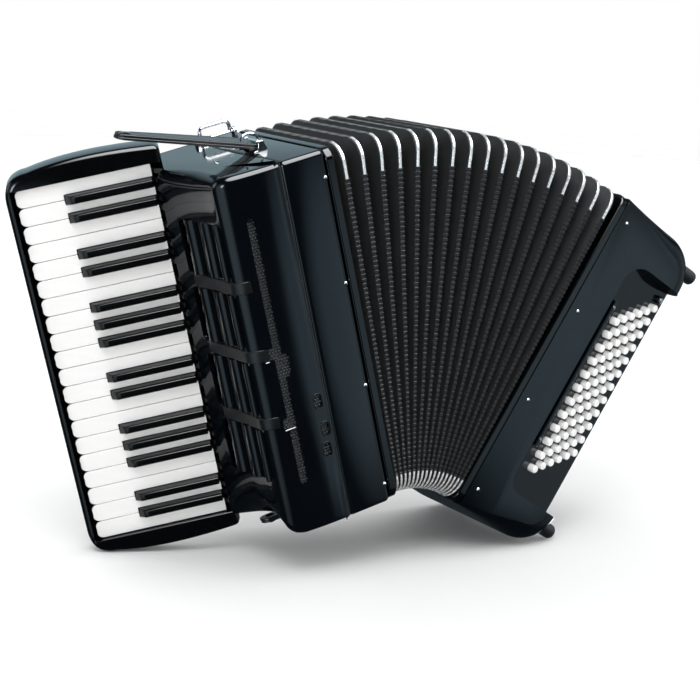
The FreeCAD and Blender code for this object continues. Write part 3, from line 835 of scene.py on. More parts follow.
# raised rims round the three small openings, and thin bright bars under the mesh patches
rim = {"outside": (1.3, 0.5), "crest": (0.6, -0.75), "inside": (0, 2.0), "steps": 5}
rims = []
for x, z in strip["openings"]:
    verts = []
    for part in ("outside", "crest", "inside"):
        grow, y = rim[part]
        verts += [(p[0], y, p[1]) for p in aroundOpening(x, z, grow, rim["steps"])]
    count = len(verts) // 3
    faces = [(m * count + k, m * count + (k + 1) % count, n * count + (k + 1) % count, n * count + k)
             for m, n in ((0, 1), (1, 2), (2, 0)) for k in range(count)]
    rims.append((verts, faces))
verts, faces, _ = together(*rims)
piece("openingRims", verts, faces, trebleFrame, [caseLacquer], body="treble_section", slot="gloss_black",
      angle=80)
trims = [block((-103, 3.4, 182.2), (-94, 5.4, 182.9)), block((-97.6, 2.3, 110.2), (-86, 3.4, 110.9))]
verts, faces, _ = together(*trims)
patchTrims = piece("patchTrims", verts, faces, trebleFrame, [steel], body="treble_section",
                   slot="steel")
bevel(patchTrims, 0.2, 2)

# woven metal in the strip, the patches and the openings: one small twisted diamond per opening of
# the mesh
weave = {"pitch": 3.0, "sink": 1.1, "startX": -104, "startZ": 44, "tall": 290, "across": 19, "margin": 0.5}
diamond = ([(-1.2, 0.5, 0), (0, -0.9, 0.66), (1.2, 0.5, 0), (0, -0.9, -0.66),
            (-0.62, 0.7, 0), (0, 0.2, 0.24), (0.62, 0.7, 0), (0, 0.2, -0.24)],
           [(0, 1, 5, 4), (1, 2, 6, 5), (2, 3, 7, 6), (3, 0, 4, 7), (4, 5, 6, 7)])
regions = [(*strip["x"], *strip["z"])] + list(strip["patches"]) + \
    [(x - halfX, x + halfX, z - halfZ, z + halfZ) for x, z in strip["openings"]]
front = sorted((p[0], p[1]) for p in skinLine if p[1] < 16.5)
grid = []
more = weave["margin"]
for j in range(int(weave["tall"] / weave["pitch"])):
    for i in range(weave["across"]):
        x = weave["startX"] + weave["pitch"] * (i + 0.5 * (j % 2))
        z = weave["startZ"] + weave["pitch"] * j
        if any(x0 - more < x < x1 + more and z0 - more < z < z1 + more for x0, x1, z0, z1 in regions):
            y = float(np.interp(x, [p[0] for p in front], [p[1] for p in front]))
            grid.append((x, y + weave["sink"], z))
scattered("grilleMesh", diamond, grid, trebleFrame, meshMetal, "treble_section", ["grille_mesh"])
liner = {"shift": (3.6, 4.2), "thick": 0.7, "from": 42, "to": 330}
cloth = [(p[0] + liner["shift"][0], p[1] + liner["shift"][1]) for p in skinLine[3:-4] if p[0] < -52]
behind = [(p[0] + liner["thick"], p[1] + liner["thick"]) for p in cloth[::-1]]
piece("grilleLiner", *prism(cloth + behind, liner["from"], liner["to"], "z"), trebleFrame, [darkCloth],
      body="treble_section", slot="strap_leather")
print("grille cover made")

# keyboard frame
row = {"pitch": 18.6, "naturals": 20, "length": 134.0, "head": 46.0, "gap": 0.6, "cap": 3.0, "stick": 14.0,
       "reach": -48, "pallet": 62, "side": 0.3}
rowEnd = row["pitch"] * row["naturals"]
tray = {"top": rowEnd + 17, "bottom": -17, "rise": 6.0, "deep": 31.0, "bed": 24.0, "edge": 6.5}
top, bottom = tray["top"], tray["bottom"]
outline = bend((12, bottom), (-60, bottom - 4.4), (-117, bottom + 1), 12)
outline += bend((-119, bottom + 1.3), (-137, bottom + 8), (-143.4, bottom + 27), 10)
outline += bend((-143.4, top - 27), (-137, top - 8), (-119, top - 1.3), 10)
outline += bend((-117, top - 1), (-60, top + 4.4), (12, top), 12)
trayPiece = piece("keyboardTray", *prism(outline, -tray["rise"], tray["deep"], "y"), keyFrame, [frameLacquer])
bevel(trayPiece, tray["edge"], 5, 45)
baked(trayPiece)
well = piece("well", *block((-row["length"] - 4.0, -20, -0.5), (40, tray["bed"], rowEnd + 0.5)), keyFrame, [])
carve(trayPiece, [well])
finishMesh(trayPiece.data, 35)
settle(trayPiece, "treble_section", ["keyboard_frame"])
bevel(trayPiece, 0.7, 2, 60)
piece("trayFlange", *block((-115.8, 139, 6), (-107, 181.9, high - 6)), trebleFrame, [frameLacquer],
               body="treble_section", slot="frame_black")
repaint("key_axle", steel)

# keys
scaleUp = "CDEFGAB"
hasSharp = {"C": True, "D": True, "E": False, "F": True, "G": True, "A": True, "B": False}
letters = [scaleUp[(scaleUp.index("E") - k) % 7] for k in range(row["naturals"])]
sharpAbove = [hasSharp[letters[k + 1]] if k + 1 < row["naturals"] else False for k in range(row["naturals"])]
sharp = {"length": 87.0, "width": 9.6, "rise": 9.5, "taper": 7.0, "clear": 5.3, "reach": -14, "pallet": 96}
lever = {"start": (-126.0, 118.0), "wide": 4.5, "tall": 10.0, "end": -56.05, "feltFrom": -50.5,
         "feltTo": -48.15, "padHalf": 7, "padLong": 26, "squeeze": 0.93}


def leverParts(z, reach, lowPallet):
    zHere = stance["keyCorner"][2] + z
    zLever = high / 2 + (zHere - high / 2 - 7) * lever["squeeze"]
    x0, y0 = lever["start"]
    half, tall = lever["wide"] / 2, lever["tall"]
    verts = []
    for x, y, zMid in ((x0, y0, zHere), (lever["end"], y0 + reach, zLever)):
        verts += [(x, y, zMid - half), (x, y + tall, zMid - half),
                  (x, y + tall, zMid + half), (x, y, zMid + half)]
    arm = (verts, [(3, 2, 1, 0), (4, 5, 6, 7), (0, 1, 5, 4), (1, 2, 6, 5), (2, 3, 7, 6), (3, 0, 4, 7)])
    padLow, padTop = zLever - lever["padHalf"], zLever + lever["padHalf"]
    endY = lowPallet + lever["padLong"]
    padOuter = block((lever["end"], lowPallet, padLow), (lever["feltFrom"], endY, padTop))
    felt = block((lever["feltFrom"], lowPallet, padLow), (lever["feltTo"], endY, padTop))
    return arm, padOuter, felt


def keyWood(name, number, z, reach, lowPallet, sticks, body):
    intoTreble = trebleFrame.inverted() @ keyFrame
    placedSticks = [([tuple(intoTreble @ Vector(v)) for v in s[0]], s[1]) for s in sticks]
    arm, padOuter, felt = leverParts(z, reach, lowPallet)
    verts, faces, picks = together(*placedSticks, arm, padOuter, (felt[0], felt[1], 1))
    wood = piece(name + "Stick%02d" % number, verts, faces, trebleFrame, [stickDark, feltRed], picks,
                 body=body, slot="reed_wood")
    bevel(wood, 0.35, 1)


def whiteCap(low, top, lowTail, highTail):
    x0, x1, x2 = -row["length"], -row["length"] + row["head"], 0.0
    r, bulge = 5.2, 1.6
    outline = [(x2, lowTail), (x2, highTail), (x1, highTail)]
    outline += [(x1, top)] if abs(highTail - top) > 0.01 else []

    def corner(y, first):
        angles = [math.radians(t) for t in range(first, first + 91, 15)]
        return [(x0 + r + bulge + (r + bulge) * math.cos(t), y + r * math.sin(t)) for t in angles]
    outline += corner(top - r, 90)
    outline.append((x0 + bulge * 0.15, low + r + (top - low - 2 * r) * 0.5))
    outline += corner(low + r, 180)
    outline += [(x1, low), (x1, lowTail)] if abs(lowTail - low) > 0.01 else []
    return [p for k, p in enumerate(outline) if (Vector(p) - Vector(outline[k - 1])).length > 0.02]


gap = row["gap"] / 2
blackNumber = 0
for k in range(row["naturals"]):
    body = "white_%02d_key" % (k + 1)
    low, upper = row["pitch"] * k + gap, row["pitch"] * (k + 1) - gap
    lowTail = row["pitch"] * k + sharp["clear"] if k and sharpAbove[k - 1] else low
    highTail = row["pitch"] * (k + 1) - sharp["clear"] if sharpAbove[k] else upper
    cap = piece("whiteKey%02d" % (k + 1), *prism(whiteCap(low, upper, lowTail, highTail), 0, row["cap"], "y"),
                keyFrame, [keyWhite], body=body, nodeNames=["key_white_%02d" % (k + 1)], slot="key_white")
    bevel(cap, 0.7, 3, 50)
    front, skirt, side = -row["length"] + 2.2, row["cap"], row["side"]
    headEnd, under = -row["length"] + row["head"], row["cap"] + row["stick"]
    sticks = [block((front, skirt, low + side), (headEnd, under, upper - side)),
              block((headEnd, skirt, lowTail + side), (-0.6, under, highTail - side))]
    keyWood("white", k + 1, row["pitch"] * (k + 0.5), row["reach"], row["pallet"], sticks, body)
    if sharpAbove[k]:
        blackNumber += 1
        z = row["pitch"] * (k + 1)
        half, long = sharp["width"] / 2, sharp["length"]
        rings = []
        for y, x0, x1, h in ((row["cap"], -long, -1.0, half), (-1.0, -long, -1.0, half),
                             (-sharp["rise"] + 1.6, -long + sharp["taper"] * 0.75, -1.2, half - 0.75),
                             (-sharp["rise"], -long + sharp["taper"] + 1.4, -1.4, half - 1.8)):
            rings.append([(x0, y, z - h), (x1, y, z - h), (x1, y, z + h), (x0, y, z + h)])
        verts = [v for ring in rings for v in ring]
        faces = [(0, 1, 2, 3), (15, 14, 13, 12)]
        faces += [(4 * m + n, 4 * m + (n + 1) % 4, 4 * m + 4 + (n + 1) % 4, 4 * m + 4 + n)
                  for m in range(3) for n in range(4)]
        body = "black_%02d_key" % blackNumber
        cap = piece("blackKey%02d" % blackNumber, verts, faces, keyFrame, [keyBlack], body=body,
                    nodeNames=["key_black_%02d" % blackNumber], slot="key_black")
        bevel(cap, 0.6, 3, 20)
        sticks = [block((-long + 1.5, skirt, z - half + 0.5), (-0.6, under, z + half - 0.5))]
        keyWood("black", blackNumber, z, sharp["reach"], sharp["pallet"], sticks, body)
print("keys made")

# bellows
# tape and band are half-widths at the bottom and at the top
fan = {"folds": 17, "start": 9.3, "inset": 22.0, "ridge": 1.0, "wall": 2.2, "round": 20.0,
       "tape": (1.35, 3.0), "band": (0.9, 1.5), "rung": 4.8, "fineRung": 3.0,
       "chromeDown": 36.0, "chromeUp": 24.0, "chromeOver": 18.0}
hubLow = toMetres.inverted() @ (trebleFrame @ Vector((fan["start"], 0, -stance["fanRadius"])))
hubHigh = toMetres.inverted() @ (bassFrame @ Vector((-fan["start"], 0, -stance["fanRadius"])))
turnAll = stance["bassTilt"] - stance["trebleTilt"]


def foldMiddle(i):
    return (2 * i + 1) / (2 * fan["folds"])


def fanAxes(share):
    angle = math.radians(stance["trebleTilt"] + turnAll * share)
    up = Vector((math.sin(angle), 0, math.cos(angle)))
    normal = Vector((math.cos(angle), 0, -math.sin(angle)))
    return hubLow.lerp(hubHigh, share), up, normal


def onFan(share, y, z):
    hub, up, _ = fanAxes(share)
    spot = hub + up * (stance["fanRadius"] + z)
    return Vector((spot.x, spot.y + y, spot.z))


def localPitch(z):
    halfFold = 1 / (2 * fan["folds"])
    return (onFan(0.5 + halfFold, 0, z) - onFan(0.5 - halfFold, 0, z)).length


def ringPath(inset, sideSteps=9, cornerSteps=7):
    r = max(1.5, fan["round"] - inset * 0.62)
    low, wideY, tallZ = inset, deep - inset, high - inset
    corners = [((low + r, low + r), 180), ((wideY - r, low + r), 270),
               ((wideY - r, tallZ - r), 0), ((low + r, tallZ - r), 90)]
    pts = []
    for number, (mid, start) in enumerate(corners):
        turn = arc(mid, r, start, start + 90, cornerSteps)
        nextMid, nextStart = corners[(number + 1) % 4]
        bearing = math.radians(nextStart)
        follow = (nextMid[0] + r * math.cos(bearing), nextMid[1] + r * math.sin(bearing))
        pts += turn + line(turn[-1], follow, sideSteps)[1:-1]
    return pts


def halfShare(z, pair):
    return (pair[0] + (pair[1] - pair[0]) * z / high) / localPitch(z) / fan["folds"]


def foldShape(i):
    mid = foldMiddle(i)
    step = 0.5 / fan["folds"]
    inset, ridge, t = fan["inset"], fan["ridge"], fan["wall"]
    section = [(-1, 0, inset), (-0.45, 0, inset * 0.46), (0, -1, ridge + 1.0), (0, -0.8, ridge + 0.1),
               (0, 0.8, ridge + 0.1), (0, 1, ridge + 1.0), (0.45, 0, inset * 0.46), (1, 0, inset),
               (1, 0, inset + t), (0, 0, ridge + t + 2.5), (-1, 0, inset + t)]
    rings = []
    for alongStep, alongTape, inset in section:
        rings.append([onFan(mid + alongStep * step * 0.999 + alongTape * halfShare(z, fan["tape"]), y, z)
                      for y, z in ringPath(inset)])
    count, loops = len(rings[0]), len(rings)
    verts = [tuple(v) for ring in rings for v in ring]
    faces = []
    for m in range(loops):
        n = (m + 1) % loops
        for k in range(count):
            q = (k + 1) % count
            faces.append((m * count + k, m * count + q, n * count + q, n * count + k))
    return verts, faces


def blended(obj):
    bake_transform(obj)


# a strip that hugs the ridge between two places on the ring path
def stripAlong(i, pts, pair, outerInset, thick):
    mid = foldMiddle(i)
    verts, faces = [], []
    middleY, middleZ = deep / 2, high / 2
    for k, (y, z) in enumerate(pts):
        ahead, behind = pts[min(k + 1, len(pts) - 1)], pts[max(k - 1, 0)]
        run = Vector((ahead[0] - behind[0], ahead[1] - behind[1])).normalized()
        inward = Vector((-run.y, run.x))
        if inward.dot(Vector((middleY - y, middleZ - z))) < 0:
            inward = -inward
        half = halfShare(z, pair)
        for side, drop in ((-1, outerInset + 0.5), (-0.7, outerInset), (0.7, outerInset),
                           (1, outerInset + 0.5), (1, outerInset + thick), (-1, outerInset + thick)):
            q = Vector((y, z)) + inward * drop
            verts.append(tuple(onFan(mid + side * half, q.x, q.y)))
    for k in range(len(pts) - 1):
        for m in range(6):
            n = (m + 1) % 6
            faces.append((k * 6 + m, k * 6 + n, k * 6 + 6 + n, k * 6 + 6 + m))
    faces += [tuple(range(6)), tuple(range(len(verts) - 1, len(verts) - 7, -1))]
    return verts, faces


def cornerRun(which):
    r = fan["round"]
    down, over, up = fan["chromeDown"], fan["chromeOver"], fan["chromeUp"]
    rise = up if "Low" in which else down
    pts = [(0.0, r + (rise - r) * k / 4) for k in (4, 3, 2, 1)]
    pts += arc((r, r), r, 180, 270, 10)
    pts += [(r + (over - r) * k / 2, 0.0) for k in (1, 2) if over > r]
    if "High" in which:
        pts = [(y, high - z) for y, z in pts]
    if "back" in which:
        pts = [(deep - y, z) for y, z in pts]
    return pts


rungBar = ([(-1, -1.15, -0.1), (1, -1.15, -0.1), (1, 1.15, -0.1), (-1, 1.15, -0.1),
            (-0.94, -0.8, 0.75), (0.94, -0.8, 0.75), (0.94, 0.8, 0.75), (-0.94, 0.8, 0.75),
            (-0.94, -0.8, -0.85), (0.94, -0.8, -0.85), (0.94, 0.8, -0.85), (-0.94, 0.8, -0.85)],
           [(4, 5, 6, 7), (0, 1, 5, 4), (1, 2, 6, 5), (2, 3, 7, 6), (3, 0, 4, 7),
            (8, 9, 1, 0), (9, 10, 2, 1), (10, 11, 3, 2), (11, 8, 0, 3), (11, 10, 9, 8)])
fineBar = ([(x, y * 0.62, z * 0.8) for x, y, z in rungBar[0]], rungBar[1])


def rungRow(name, i, pts, spacing, shape):
    mid = foldMiddle(i)
    verts = [tuple(onFan(mid, y, z)) for y, z in pts]
    widths = [halfShare(z, fan["tape"]) * localPitch(z) * fan["folds"] for y, z in pts]
    source = pattern(name + "Bar", shape)
    obj = runTree(rungs, name, verts, [(k, k + 1) for k in range(len(verts) - 1)], [],
                  {"Shape": source, "Spacing": spacing, "Across": tuple(fanAxes(mid)[2]), "Finish": tapeCloth,
                   "attributes": {"halfWidth": widths}})
    bpy.data.objects.remove(source)
    obj.data.transform(toMetres)
    finishMesh(obj.data, 40)
    return obj


edge = fan["ridge"] - 0.15
tapeLow, tapeHigh = fan["chromeUp"], high - fan["chromeDown"]
tapeNear, tapeFar = fan["chromeOver"] + 3, deep - fan["chromeOver"] - 3
tapes = (("tapeFront", line((edge, tapeLow), (edge, tapeHigh), 12), fan["rung"], rungBar),
         ("tapeRear", line((deep - edge, tapeLow), (deep - edge, tapeHigh), 12), fan["rung"], rungBar),
         ("tapeTop", line((tapeNear, high - edge), (tapeFar, high - edge), 4), fan["fineRung"], fineBar),
         ("tapeUnder", line((tapeNear, edge), (tapeFar, edge), 4), fan["fineRung"], fineBar))
for i in range(fan["folds"]):
    verts, faces = foldShape(i)
    fold = piece("fold%02d" % (i + 1), verts, faces, toMetres, [foldCloth], angle=28)
    parts = [fold] + [rungRow(name, i, pts, spacing, shape) for name, pts, spacing, shape in tapes]
    joined("fold%02d" % (i + 1), parts, nodeNames=["bellows_folds"])
    blended(fold)
    shapes = [stripAlong(i, cornerRun(which), fan["band"], 0.15, 1.3)
              for which in ("frontLow", "frontHigh", "backLow", "backHigh")]
    verts, faces, _ = together(*shapes)
    band = piece("cornerBands%02d" % (i + 1), verts, faces, toMetres, [bandNickel],
                 nodeNames=["bellows_corners"], slot="chrome")
    blended(band)
print("bellows made")

# bellows frames
rail = {"wide": 9.0, "gap": 0.35, "wall": 12.0, "round": 12.0, "edge": 1.6}


def ringFrame(name, low, top, place, body, node):
    outerLine = roundedBox((0, 0), (deep, high), rail["round"], 8)
    innerLine = roundedBox((rail["wall"], rail["wall"]), (deep - rail["wall"], high - rail["wall"]),
                           rail["round"] / 3, 8)
    count = len(outerLine)
    verts = [(x, *p) for loop in (outerLine, innerLine) for x in (low, top) for p in loop]
    faces = []
    for k in range(count):
        q = (k + 1) % count
        faces += [(k, q, q + count, k + count), (k + 2 * count, k + 3 * count, q + 3 * count, q + 2 * count),
                  (k, k + 2 * count, q + 2 * count, q), (k + count, q + count, q + 3 * count, k + 3 * count)]
    obj = piece(name, verts, faces, place, [frameLacquer], body=body, nodeNames=[node], slot="gloss_black")
    bevel(obj, rail["edge"], 4, 50)
    return obj


ringFrame("bellowsFrameTreble", rail["gap"], 0.05 + rail["wide"], trebleFrame, "treble_section",
          "bellows_frame_treble")
ringFrame("bellowsFrameBass", -0.05 - rail["wide"], -rail["gap"], bassFrame, "bass_section",
          "bellows_frame_bass")

# bass casing
bass = {"width": 128.0, "corner": 45.0, "wall": 5.0, "edge": 4.0, "frontRound": 20.0, "recess": (42.0, 318.0),
        "recessRound": (24.0, 16.0), "edgeLip": 2.6, "feet": (28.0, 346.0), "footInset": 22}
wide = bass["width"]
footSpots = [(y, z) for y in (bass["footInset"], deep - bass["footInset"]) for z in bass["feet"]]


def bassRing(y, outerInset, endInset):
    centreX, r = wide - bass["corner"], bass["corner"] - outerInset
    pts = [(0, endInset), (centreX * 0.5, (endInset + outerInset) / 2 * 0.8)]
    pts += arc((centreX, bass["corner"]), r, -90, 0, 12) + arc((centreX, high - bass["corner"]), r, 0, 90, 12)
    pts += [(centreX * 0.5, high - (endInset + outerInset) / 2 * 0.8), (0, high - endInset)]
    return [(x, y, z) for x, z in pts]


def quarter(size, y):
    return size - math.sqrt(max(0, size ** 2 - max(0, size - y) ** 2))


rings = []
for t in range(0, 91, 9):
    y = bass["frontRound"] * (1 - math.cos(math.radians(t)))
    rings.append(bassRing(y, quarter(bass["frontRound"], y), quarter(bass["edge"], y)))
for t in range(90, -1, -15):
    y = bass["edge"] * (1 - math.cos(math.radians(t)))
    rings.append(bassRing(deep - y, quarter(bass["edge"], y), quarter(bass["edge"], y)))
count = len(rings[0])
verts = [v for ring in rings for v in ring]
faces = [tuple(range(count)), tuple(range(len(verts) - 1, len(verts) - 1 - count, -1))]
faces += [(m * count + k, m * count + (k + 1) % count, (m + 1) * count + (k + 1) % count, (m + 1) * count + k)
          for m in range(len(rings) - 1) for k in range(count)]
bassCase = piece("bassCase", verts, faces, bassFrame, [caseLacquer])
# the recess opens through the front and the outer side, with a rounded inner corner at each end
recessLow, recessHigh = bass["recess"]
roundTop, roundLow = bass["recessRound"]
recessOutline = [(100, recessLow), (100, recessHigh)] + \
    arc((-8 + roundTop, recessHigh - roundTop), roundTop, 90, 180, 10) + \
    arc((-8 + roundLow, recessLow + roundLow), roundLow, 180, 270, 8)
recess = piece("recessTool", *prism(recessOutline, -60, 4, "y"), panelFrame, [caseLacquer])
wall = bass["wall"]
inner = piece("innerTool", *block((-1, wall, wall), (34, deep - wall, high - wall)), bassFrame, [])
action = piece("actionTool", *block((34, 48, 26), (wide - 6, deep - wall, high - 26)), bassFrame, [])
socketShape = lathe([(wide - 8, 8.1), (wide + 12, 8.1)], "x", 32)
sockets = [piece("socketTool", *moved(socketShape, (0, y, z)), bassFrame, []) for y, z in footSpots]
carve(bassCase, [recess, inner, action] + sockets)
finishMesh(bassCase.data, 32)
settle(bassCase, "bass_section", ["bass_casing"])
bevel(bassCase, bass["edgeLip"], 4, 50)

panel = {"low": 42.2, "high": 317.8, "thick": 4.0, "inner": -7.8, "outer": 80.4,
         "rail": (-3.2, 3.2, 95, 272, 4.2)}
rTop, rLow = roundTop - 0.2, roundLow - 0.2
panelOutline = [(panel["outer"], panel["low"]), (panel["outer"], panel["high"])] + \
    arc((panel["inner"] + rTop, panel["high"] - rTop), rTop, 90, 180, 10) + \
    arc((panel["inner"] + rLow, panel["low"] + rLow), rLow, 180, 270, 8)
panelBoard = piece("buttonPanel", *prism(panelOutline, 0, panel["thick"], "y"), panelFrame, [caseLacquer])
buttons = {"rows": 6, "each": 12, "firstX": 14.5, "firstZ": 74.0, "across": 9.9, "slant": 8.0, "pitch": 16.35,
           "radius": 4.2, "proud": 8.0, "stem": 9.0, "air": (69.0, 306.0)}
airX, airZ = buttons["air"]
buttonSpots = [[(buttons["firstX"] + buttons["across"] * rank, 0, buttons["firstZ"] + buttons["slant"] * rank
                 + buttons["pitch"] * index) for index in range(buttons["each"])]
               for rank in range(buttons["rows"])]
buttonHole = lathe([(-3, 4.55), (8, 4.55)], "y", 16)
airHole = lathe([(-3, 4.45), (8, 4.45)], "y", 16)
holeMesh = together(*[moved(buttonHole, spot) for spots in buttonSpots for spot in spots],
                    moved(airHole, (airX, 0, airZ)))
holes = piece("holeTool", holeMesh[0], holeMesh[1], panelFrame, [])
carve(panelBoard, [holes])
finishMesh(panelBoard.data, 35)
settle(panelBoard, "bass_section", ["bass_button_panel"])
x0, x1, z0, z1, up = panel["rail"]
railLine = [(x0, 0.05), (x1, 0.05), (x1, -up + 1.5)] + arc((x1 - 1.5, -up + 1.5), 1.5, 0, -90, 3)[1:] + \
    arc((x0 + 1.5, -up + 1.5), 1.5, -90, -180, 3)
buttonRail = piece("buttonRail", *prism(railLine, z0, z1, "z"), panelFrame, [caseLacquer],
                   body="bass_section", slot="gloss_black")
bevel(buttonRail, 0.6, 2, 60)

# one button, a short cylinder with a domed and rounded top
p, q = buttons["proud"], buttons["radius"]
buttonShape = lathe([(buttons["stem"], q * 0.72), (4, q * 0.72), (3.8, q), (-p + 1.3, q),
                     (-p + 0.55, q * 0.95), (-p + 0.15, q * 0.84), (-p, q * 0.62), (-p + 0.12, q * 0.3)],
                    "y", 20)
for number, spots in enumerate(buttonSpots):
    scattered("buttonRow%d" % (number + 1), buttonShape, spots, panelFrame, buttonWhite,
              "row_%d" % (number + 1), ["bass_buttons_row_%d" % (number + 1)])
stub = moved(lathe([(8.8, 3.0), (3, 3.0), (2.8, 4.05), (-4.2, 4.05), (-4.6, 3.7)], "y", 24), (airX, 0, airZ))
tip = moved(lathe([(-4.0, 3.0), (-5.6, 3.0), (-6.0, 2.6), (-6.0, 0.4)], "y", 24), (airX, 0, airZ))
verts, faces, picks = together((stub[0], stub[1], 0), (tip[0], tip[1], 1))
piece("airButton", verts, faces, panelFrame, [keyBlack, chrome], picks, body="air_valve_button",
      nodeNames=["air_button"], slot="key_black")
footShape = lathe([(-8, 7.6), (-1, 8.0), (8, 8.0), (11, 7.7), (12.6, 6.7), (13, 5.2), (13, 1.2),
                   (12.2, 0.8)], "x", 32)
verts, faces, _ = together(*[moved(footShape, (wide, y, z)) for y, z in footSpots])
piece("bassFeet", verts, faces, bassFrame, [rubber], body="bass_section", nodeNames=["bass_feet"],
      slot="rubber_black")
print("bass casing made")

# hand strap
handStrap = {"middle": 104.0, "width": 66.0, "thick": 2.5, "bow": 27.0, "low": 47.0, "tabEnd": 57,
             "bowStart": 68, "plateZ": 56, "plateHalf": (28, 7), "seam": 5}


def strapLine(steps=40):
    pts = []
    a = Vector((wide + 0.4, handStrap["bowStart"]))
    b = Vector((wide + handStrap["bow"], high / 2))
    c = Vector((wide + 0.4, high - handStrap["bowStart"]))
    chord, sag = (c - a).length / 2, handStrap["bow"] - 0.4
    radius = (chord ** 2 + sag ** 2) / (2 * sag)
    centre = Vector((b.x - radius, b.y))
    sweep = math.asin(chord / radius)
    for k in range(steps + 1):
        t = -sweep + 2 * sweep * k / steps
        pts.append(Vector((centre.x + radius * math.cos(t), centre.y + radius * math.sin(t))))
    tab = (handStrap["low"], handStrap["tabEnd"])
    return [Vector((wide + 0.3, z)) for z in tab] + pts + [Vector((wide + 0.3, high - z)) for z in tab[::-1]]


def bandShape(width, thick):
    line = strapLine()
    verts, faces = [], []
    count = 13
    for k, p in enumerate(line):
        ahead, behind = line[min(k + 1, len(line) - 1)], line[max(k - 1, 0)]
        run = (ahead - behind).normalized()
        outward = Vector((run.y, -run.x))
        loop = []
        for m in range(count):
            t = -1 + 2 * m / (count - 1)
            crown = 1 - abs(t) ** 5
            loop.append((t * width / 2, thick * (0.55 + 0.45 * crown)))
        for m in range(count):
            t = 1 - 2 * m / (count - 1)
            loop.append((t * width / 2, thick * 0.45 * (abs(t) ** 5)))
        for y, d in loop:
            verts.append((p.x + outward.x * d, handStrap["middle"] + y, p.y + outward.y * d))
    loops = 2 * count
    for k in range(len(line) - 1):
        for m in range(loops):
            n = (m + 1) % loops
            faces.append((k * loops + m, k * loops + n, (k + 1) * loops + n, (k + 1) * loops + m))
    faces += [tuple(range(loops)), tuple(range(len(verts) - 1, len(verts) - 1 - loops, -1))]
    return verts, faces


piece("handStrap", *bandShape(handStrap["width"], handStrap["thick"]), bassFrame, [strapLeather],
      body="bass_section", nodeNames=["hand_strap"], slot="strap_leather", angle=50)
stitchBar = ([(-0.35, -0.35, -1.2), (0.35, -0.35, -1.2), (0.35, 0.35, -1.2), (-0.35, 0.35, -1.2),
              (-0.35, -0.35, 1.2), (0.35, -0.35, 1.2), (0.35, 0.35, 1.2), (-0.35, 0.35, 1.2)],
             [(3, 2, 1, 0), (4, 5, 6, 7), (0, 1, 5, 4), (1, 2, 6, 5), (2, 3, 7, 6), (3, 0, 4, 7)])
stitchSpots = []
path = strapLine(70)
proud = handStrap["thick"] + 0.05
for side in (-1, 1):
    y = handStrap["middle"] + side * (handStrap["width"] / 2 - handStrap["seam"])
    for k in range(1, len(path) - 1):
        run = (path[k + 1] - path[k - 1]).normalized()
        stitchSpots.append((path[k].x + run.y * proud, y, path[k].y - run.x * proud))
scattered("handStrapStitches", stitchBar, stitchSpots, bassFrame, threadBlack, "bass_section")
plates, plateZs = [], (handStrap["plateZ"], high - handStrap["plateZ"])
acrossHalf, alongHalf = handStrap["plateHalf"]
for z in plateZs:
    plates.append(block((wide + 2.75, handStrap["middle"] - acrossHalf, z - alongHalf),
                        (wide + 4.6, handStrap["middle"] + acrossHalf, z + alongHalf)))
verts, faces, _ = together(*plates)
strapPlates = piece("strapPlates", verts, faces, bassFrame, [steel], body="bass_section", slot="steel")
bevel(strapPlates, 0.8, 3)
headShape = lathe([(-1.2, 2.6), (0.2, 2.6), (0.8, 1.9), (1.0, 0.7)], "x", 14)
screwSpots = [(wide + 4.6, handStrap["middle"] + y, z) for y in (-20, 0, 20) for z in plateZs]
scattered("strapScrews", headShape, screwSpots, bassFrame, chrome, "bass_section")
print("hand strap made")

# pins, rings and straps
pins = {"pitch": 106.9, "each": 4, "radius": 2.1, "proud": 1.55,
        "treble": (-4.0, high - 27.2), "bass": (10.6, high - 23.8)}
proud, radius = pins["proud"], pins["radius"]
pinShape = lathe([(1.0, radius), (-proud * 0.35, radius), (-proud * 0.8, radius * 0.75),
                  (-proud, radius * 0.25)], "y", 18)
for side, place in (("treble", trebleFrame), ("bass", bassFrame)):
    x, top = pins[side]
    scattered(side + "Pins", pinShape, [(x, 0, top - k * pins["pitch"]) for k in range(pins["each"])],
              place, chrome, side + "_section", [side + "_fittings"])
railScrew = lathe([(0, 2.3), (-0.6, 2.3), (-1.1, 1.6), (-1.2, 0.5)], "y", 18)
scattered("railScrews", railScrew, [(0, -4.1, 103), (0, -4.1, 264)], panelFrame, chrome, "bass_section")

ringSpot = {"x": -30.0, "y": 172.0, "lift": 4.0, "half": 17.0, "rise": 12.0, "bend": 6.0, "wire": 1.9}
rx, ry, rz = ringSpot["x"], ringSpot["y"], high + ringSpot["lift"]
h, rise, b = ringSpot["half"], ringSpot["rise"], ringSpot["bend"]
bow = [(rx - h, ry, rz), (rx - h, ry, rz + rise - b)]
for t in (18, 36, 54, 72, 90):
    turn = math.radians(t)
    bow.append((rx - h + b - b * math.cos(turn), ry, rz + rise - b + b * math.sin(turn)))
for t in (0, 18, 36, 54, 72, 90):
    turn = math.radians(t)
    bow.append((rx + h - b + b * math.sin(turn), ry, rz + rise - b + b * math.cos(turn)))
bow.append((rx + h, ry, rz))
pivot = moved(lathe([(-22.4, 1.2), (-22.1, 1.6), (22.1, 1.6), (22.4, 1.2)], "x", 14), (rx, ry, rz))
verts, faces, _ = together(wire(bow, ringSpot["wire"], 12), pivot)
piece("strapRing", verts, faces, trebleFrame, [chrome], body="ring", nodeNames=["strap_ring"], slot="chrome")
lugs = []
for x in (rx - 21.25, rx + 21.25):
    side = [(ry - 4, high - 0.2), (ry - 4, high + 4)] + arc((ry, high + 4), 4, 180, 0, 8)[1:-1]
    side += [(ry + 4, high + 4), (ry + 4, high - 0.2)]
    lugs.append(prism(side, x - 1.7, x + 1.7, "x"))
verts, faces, _ = together(*lugs)
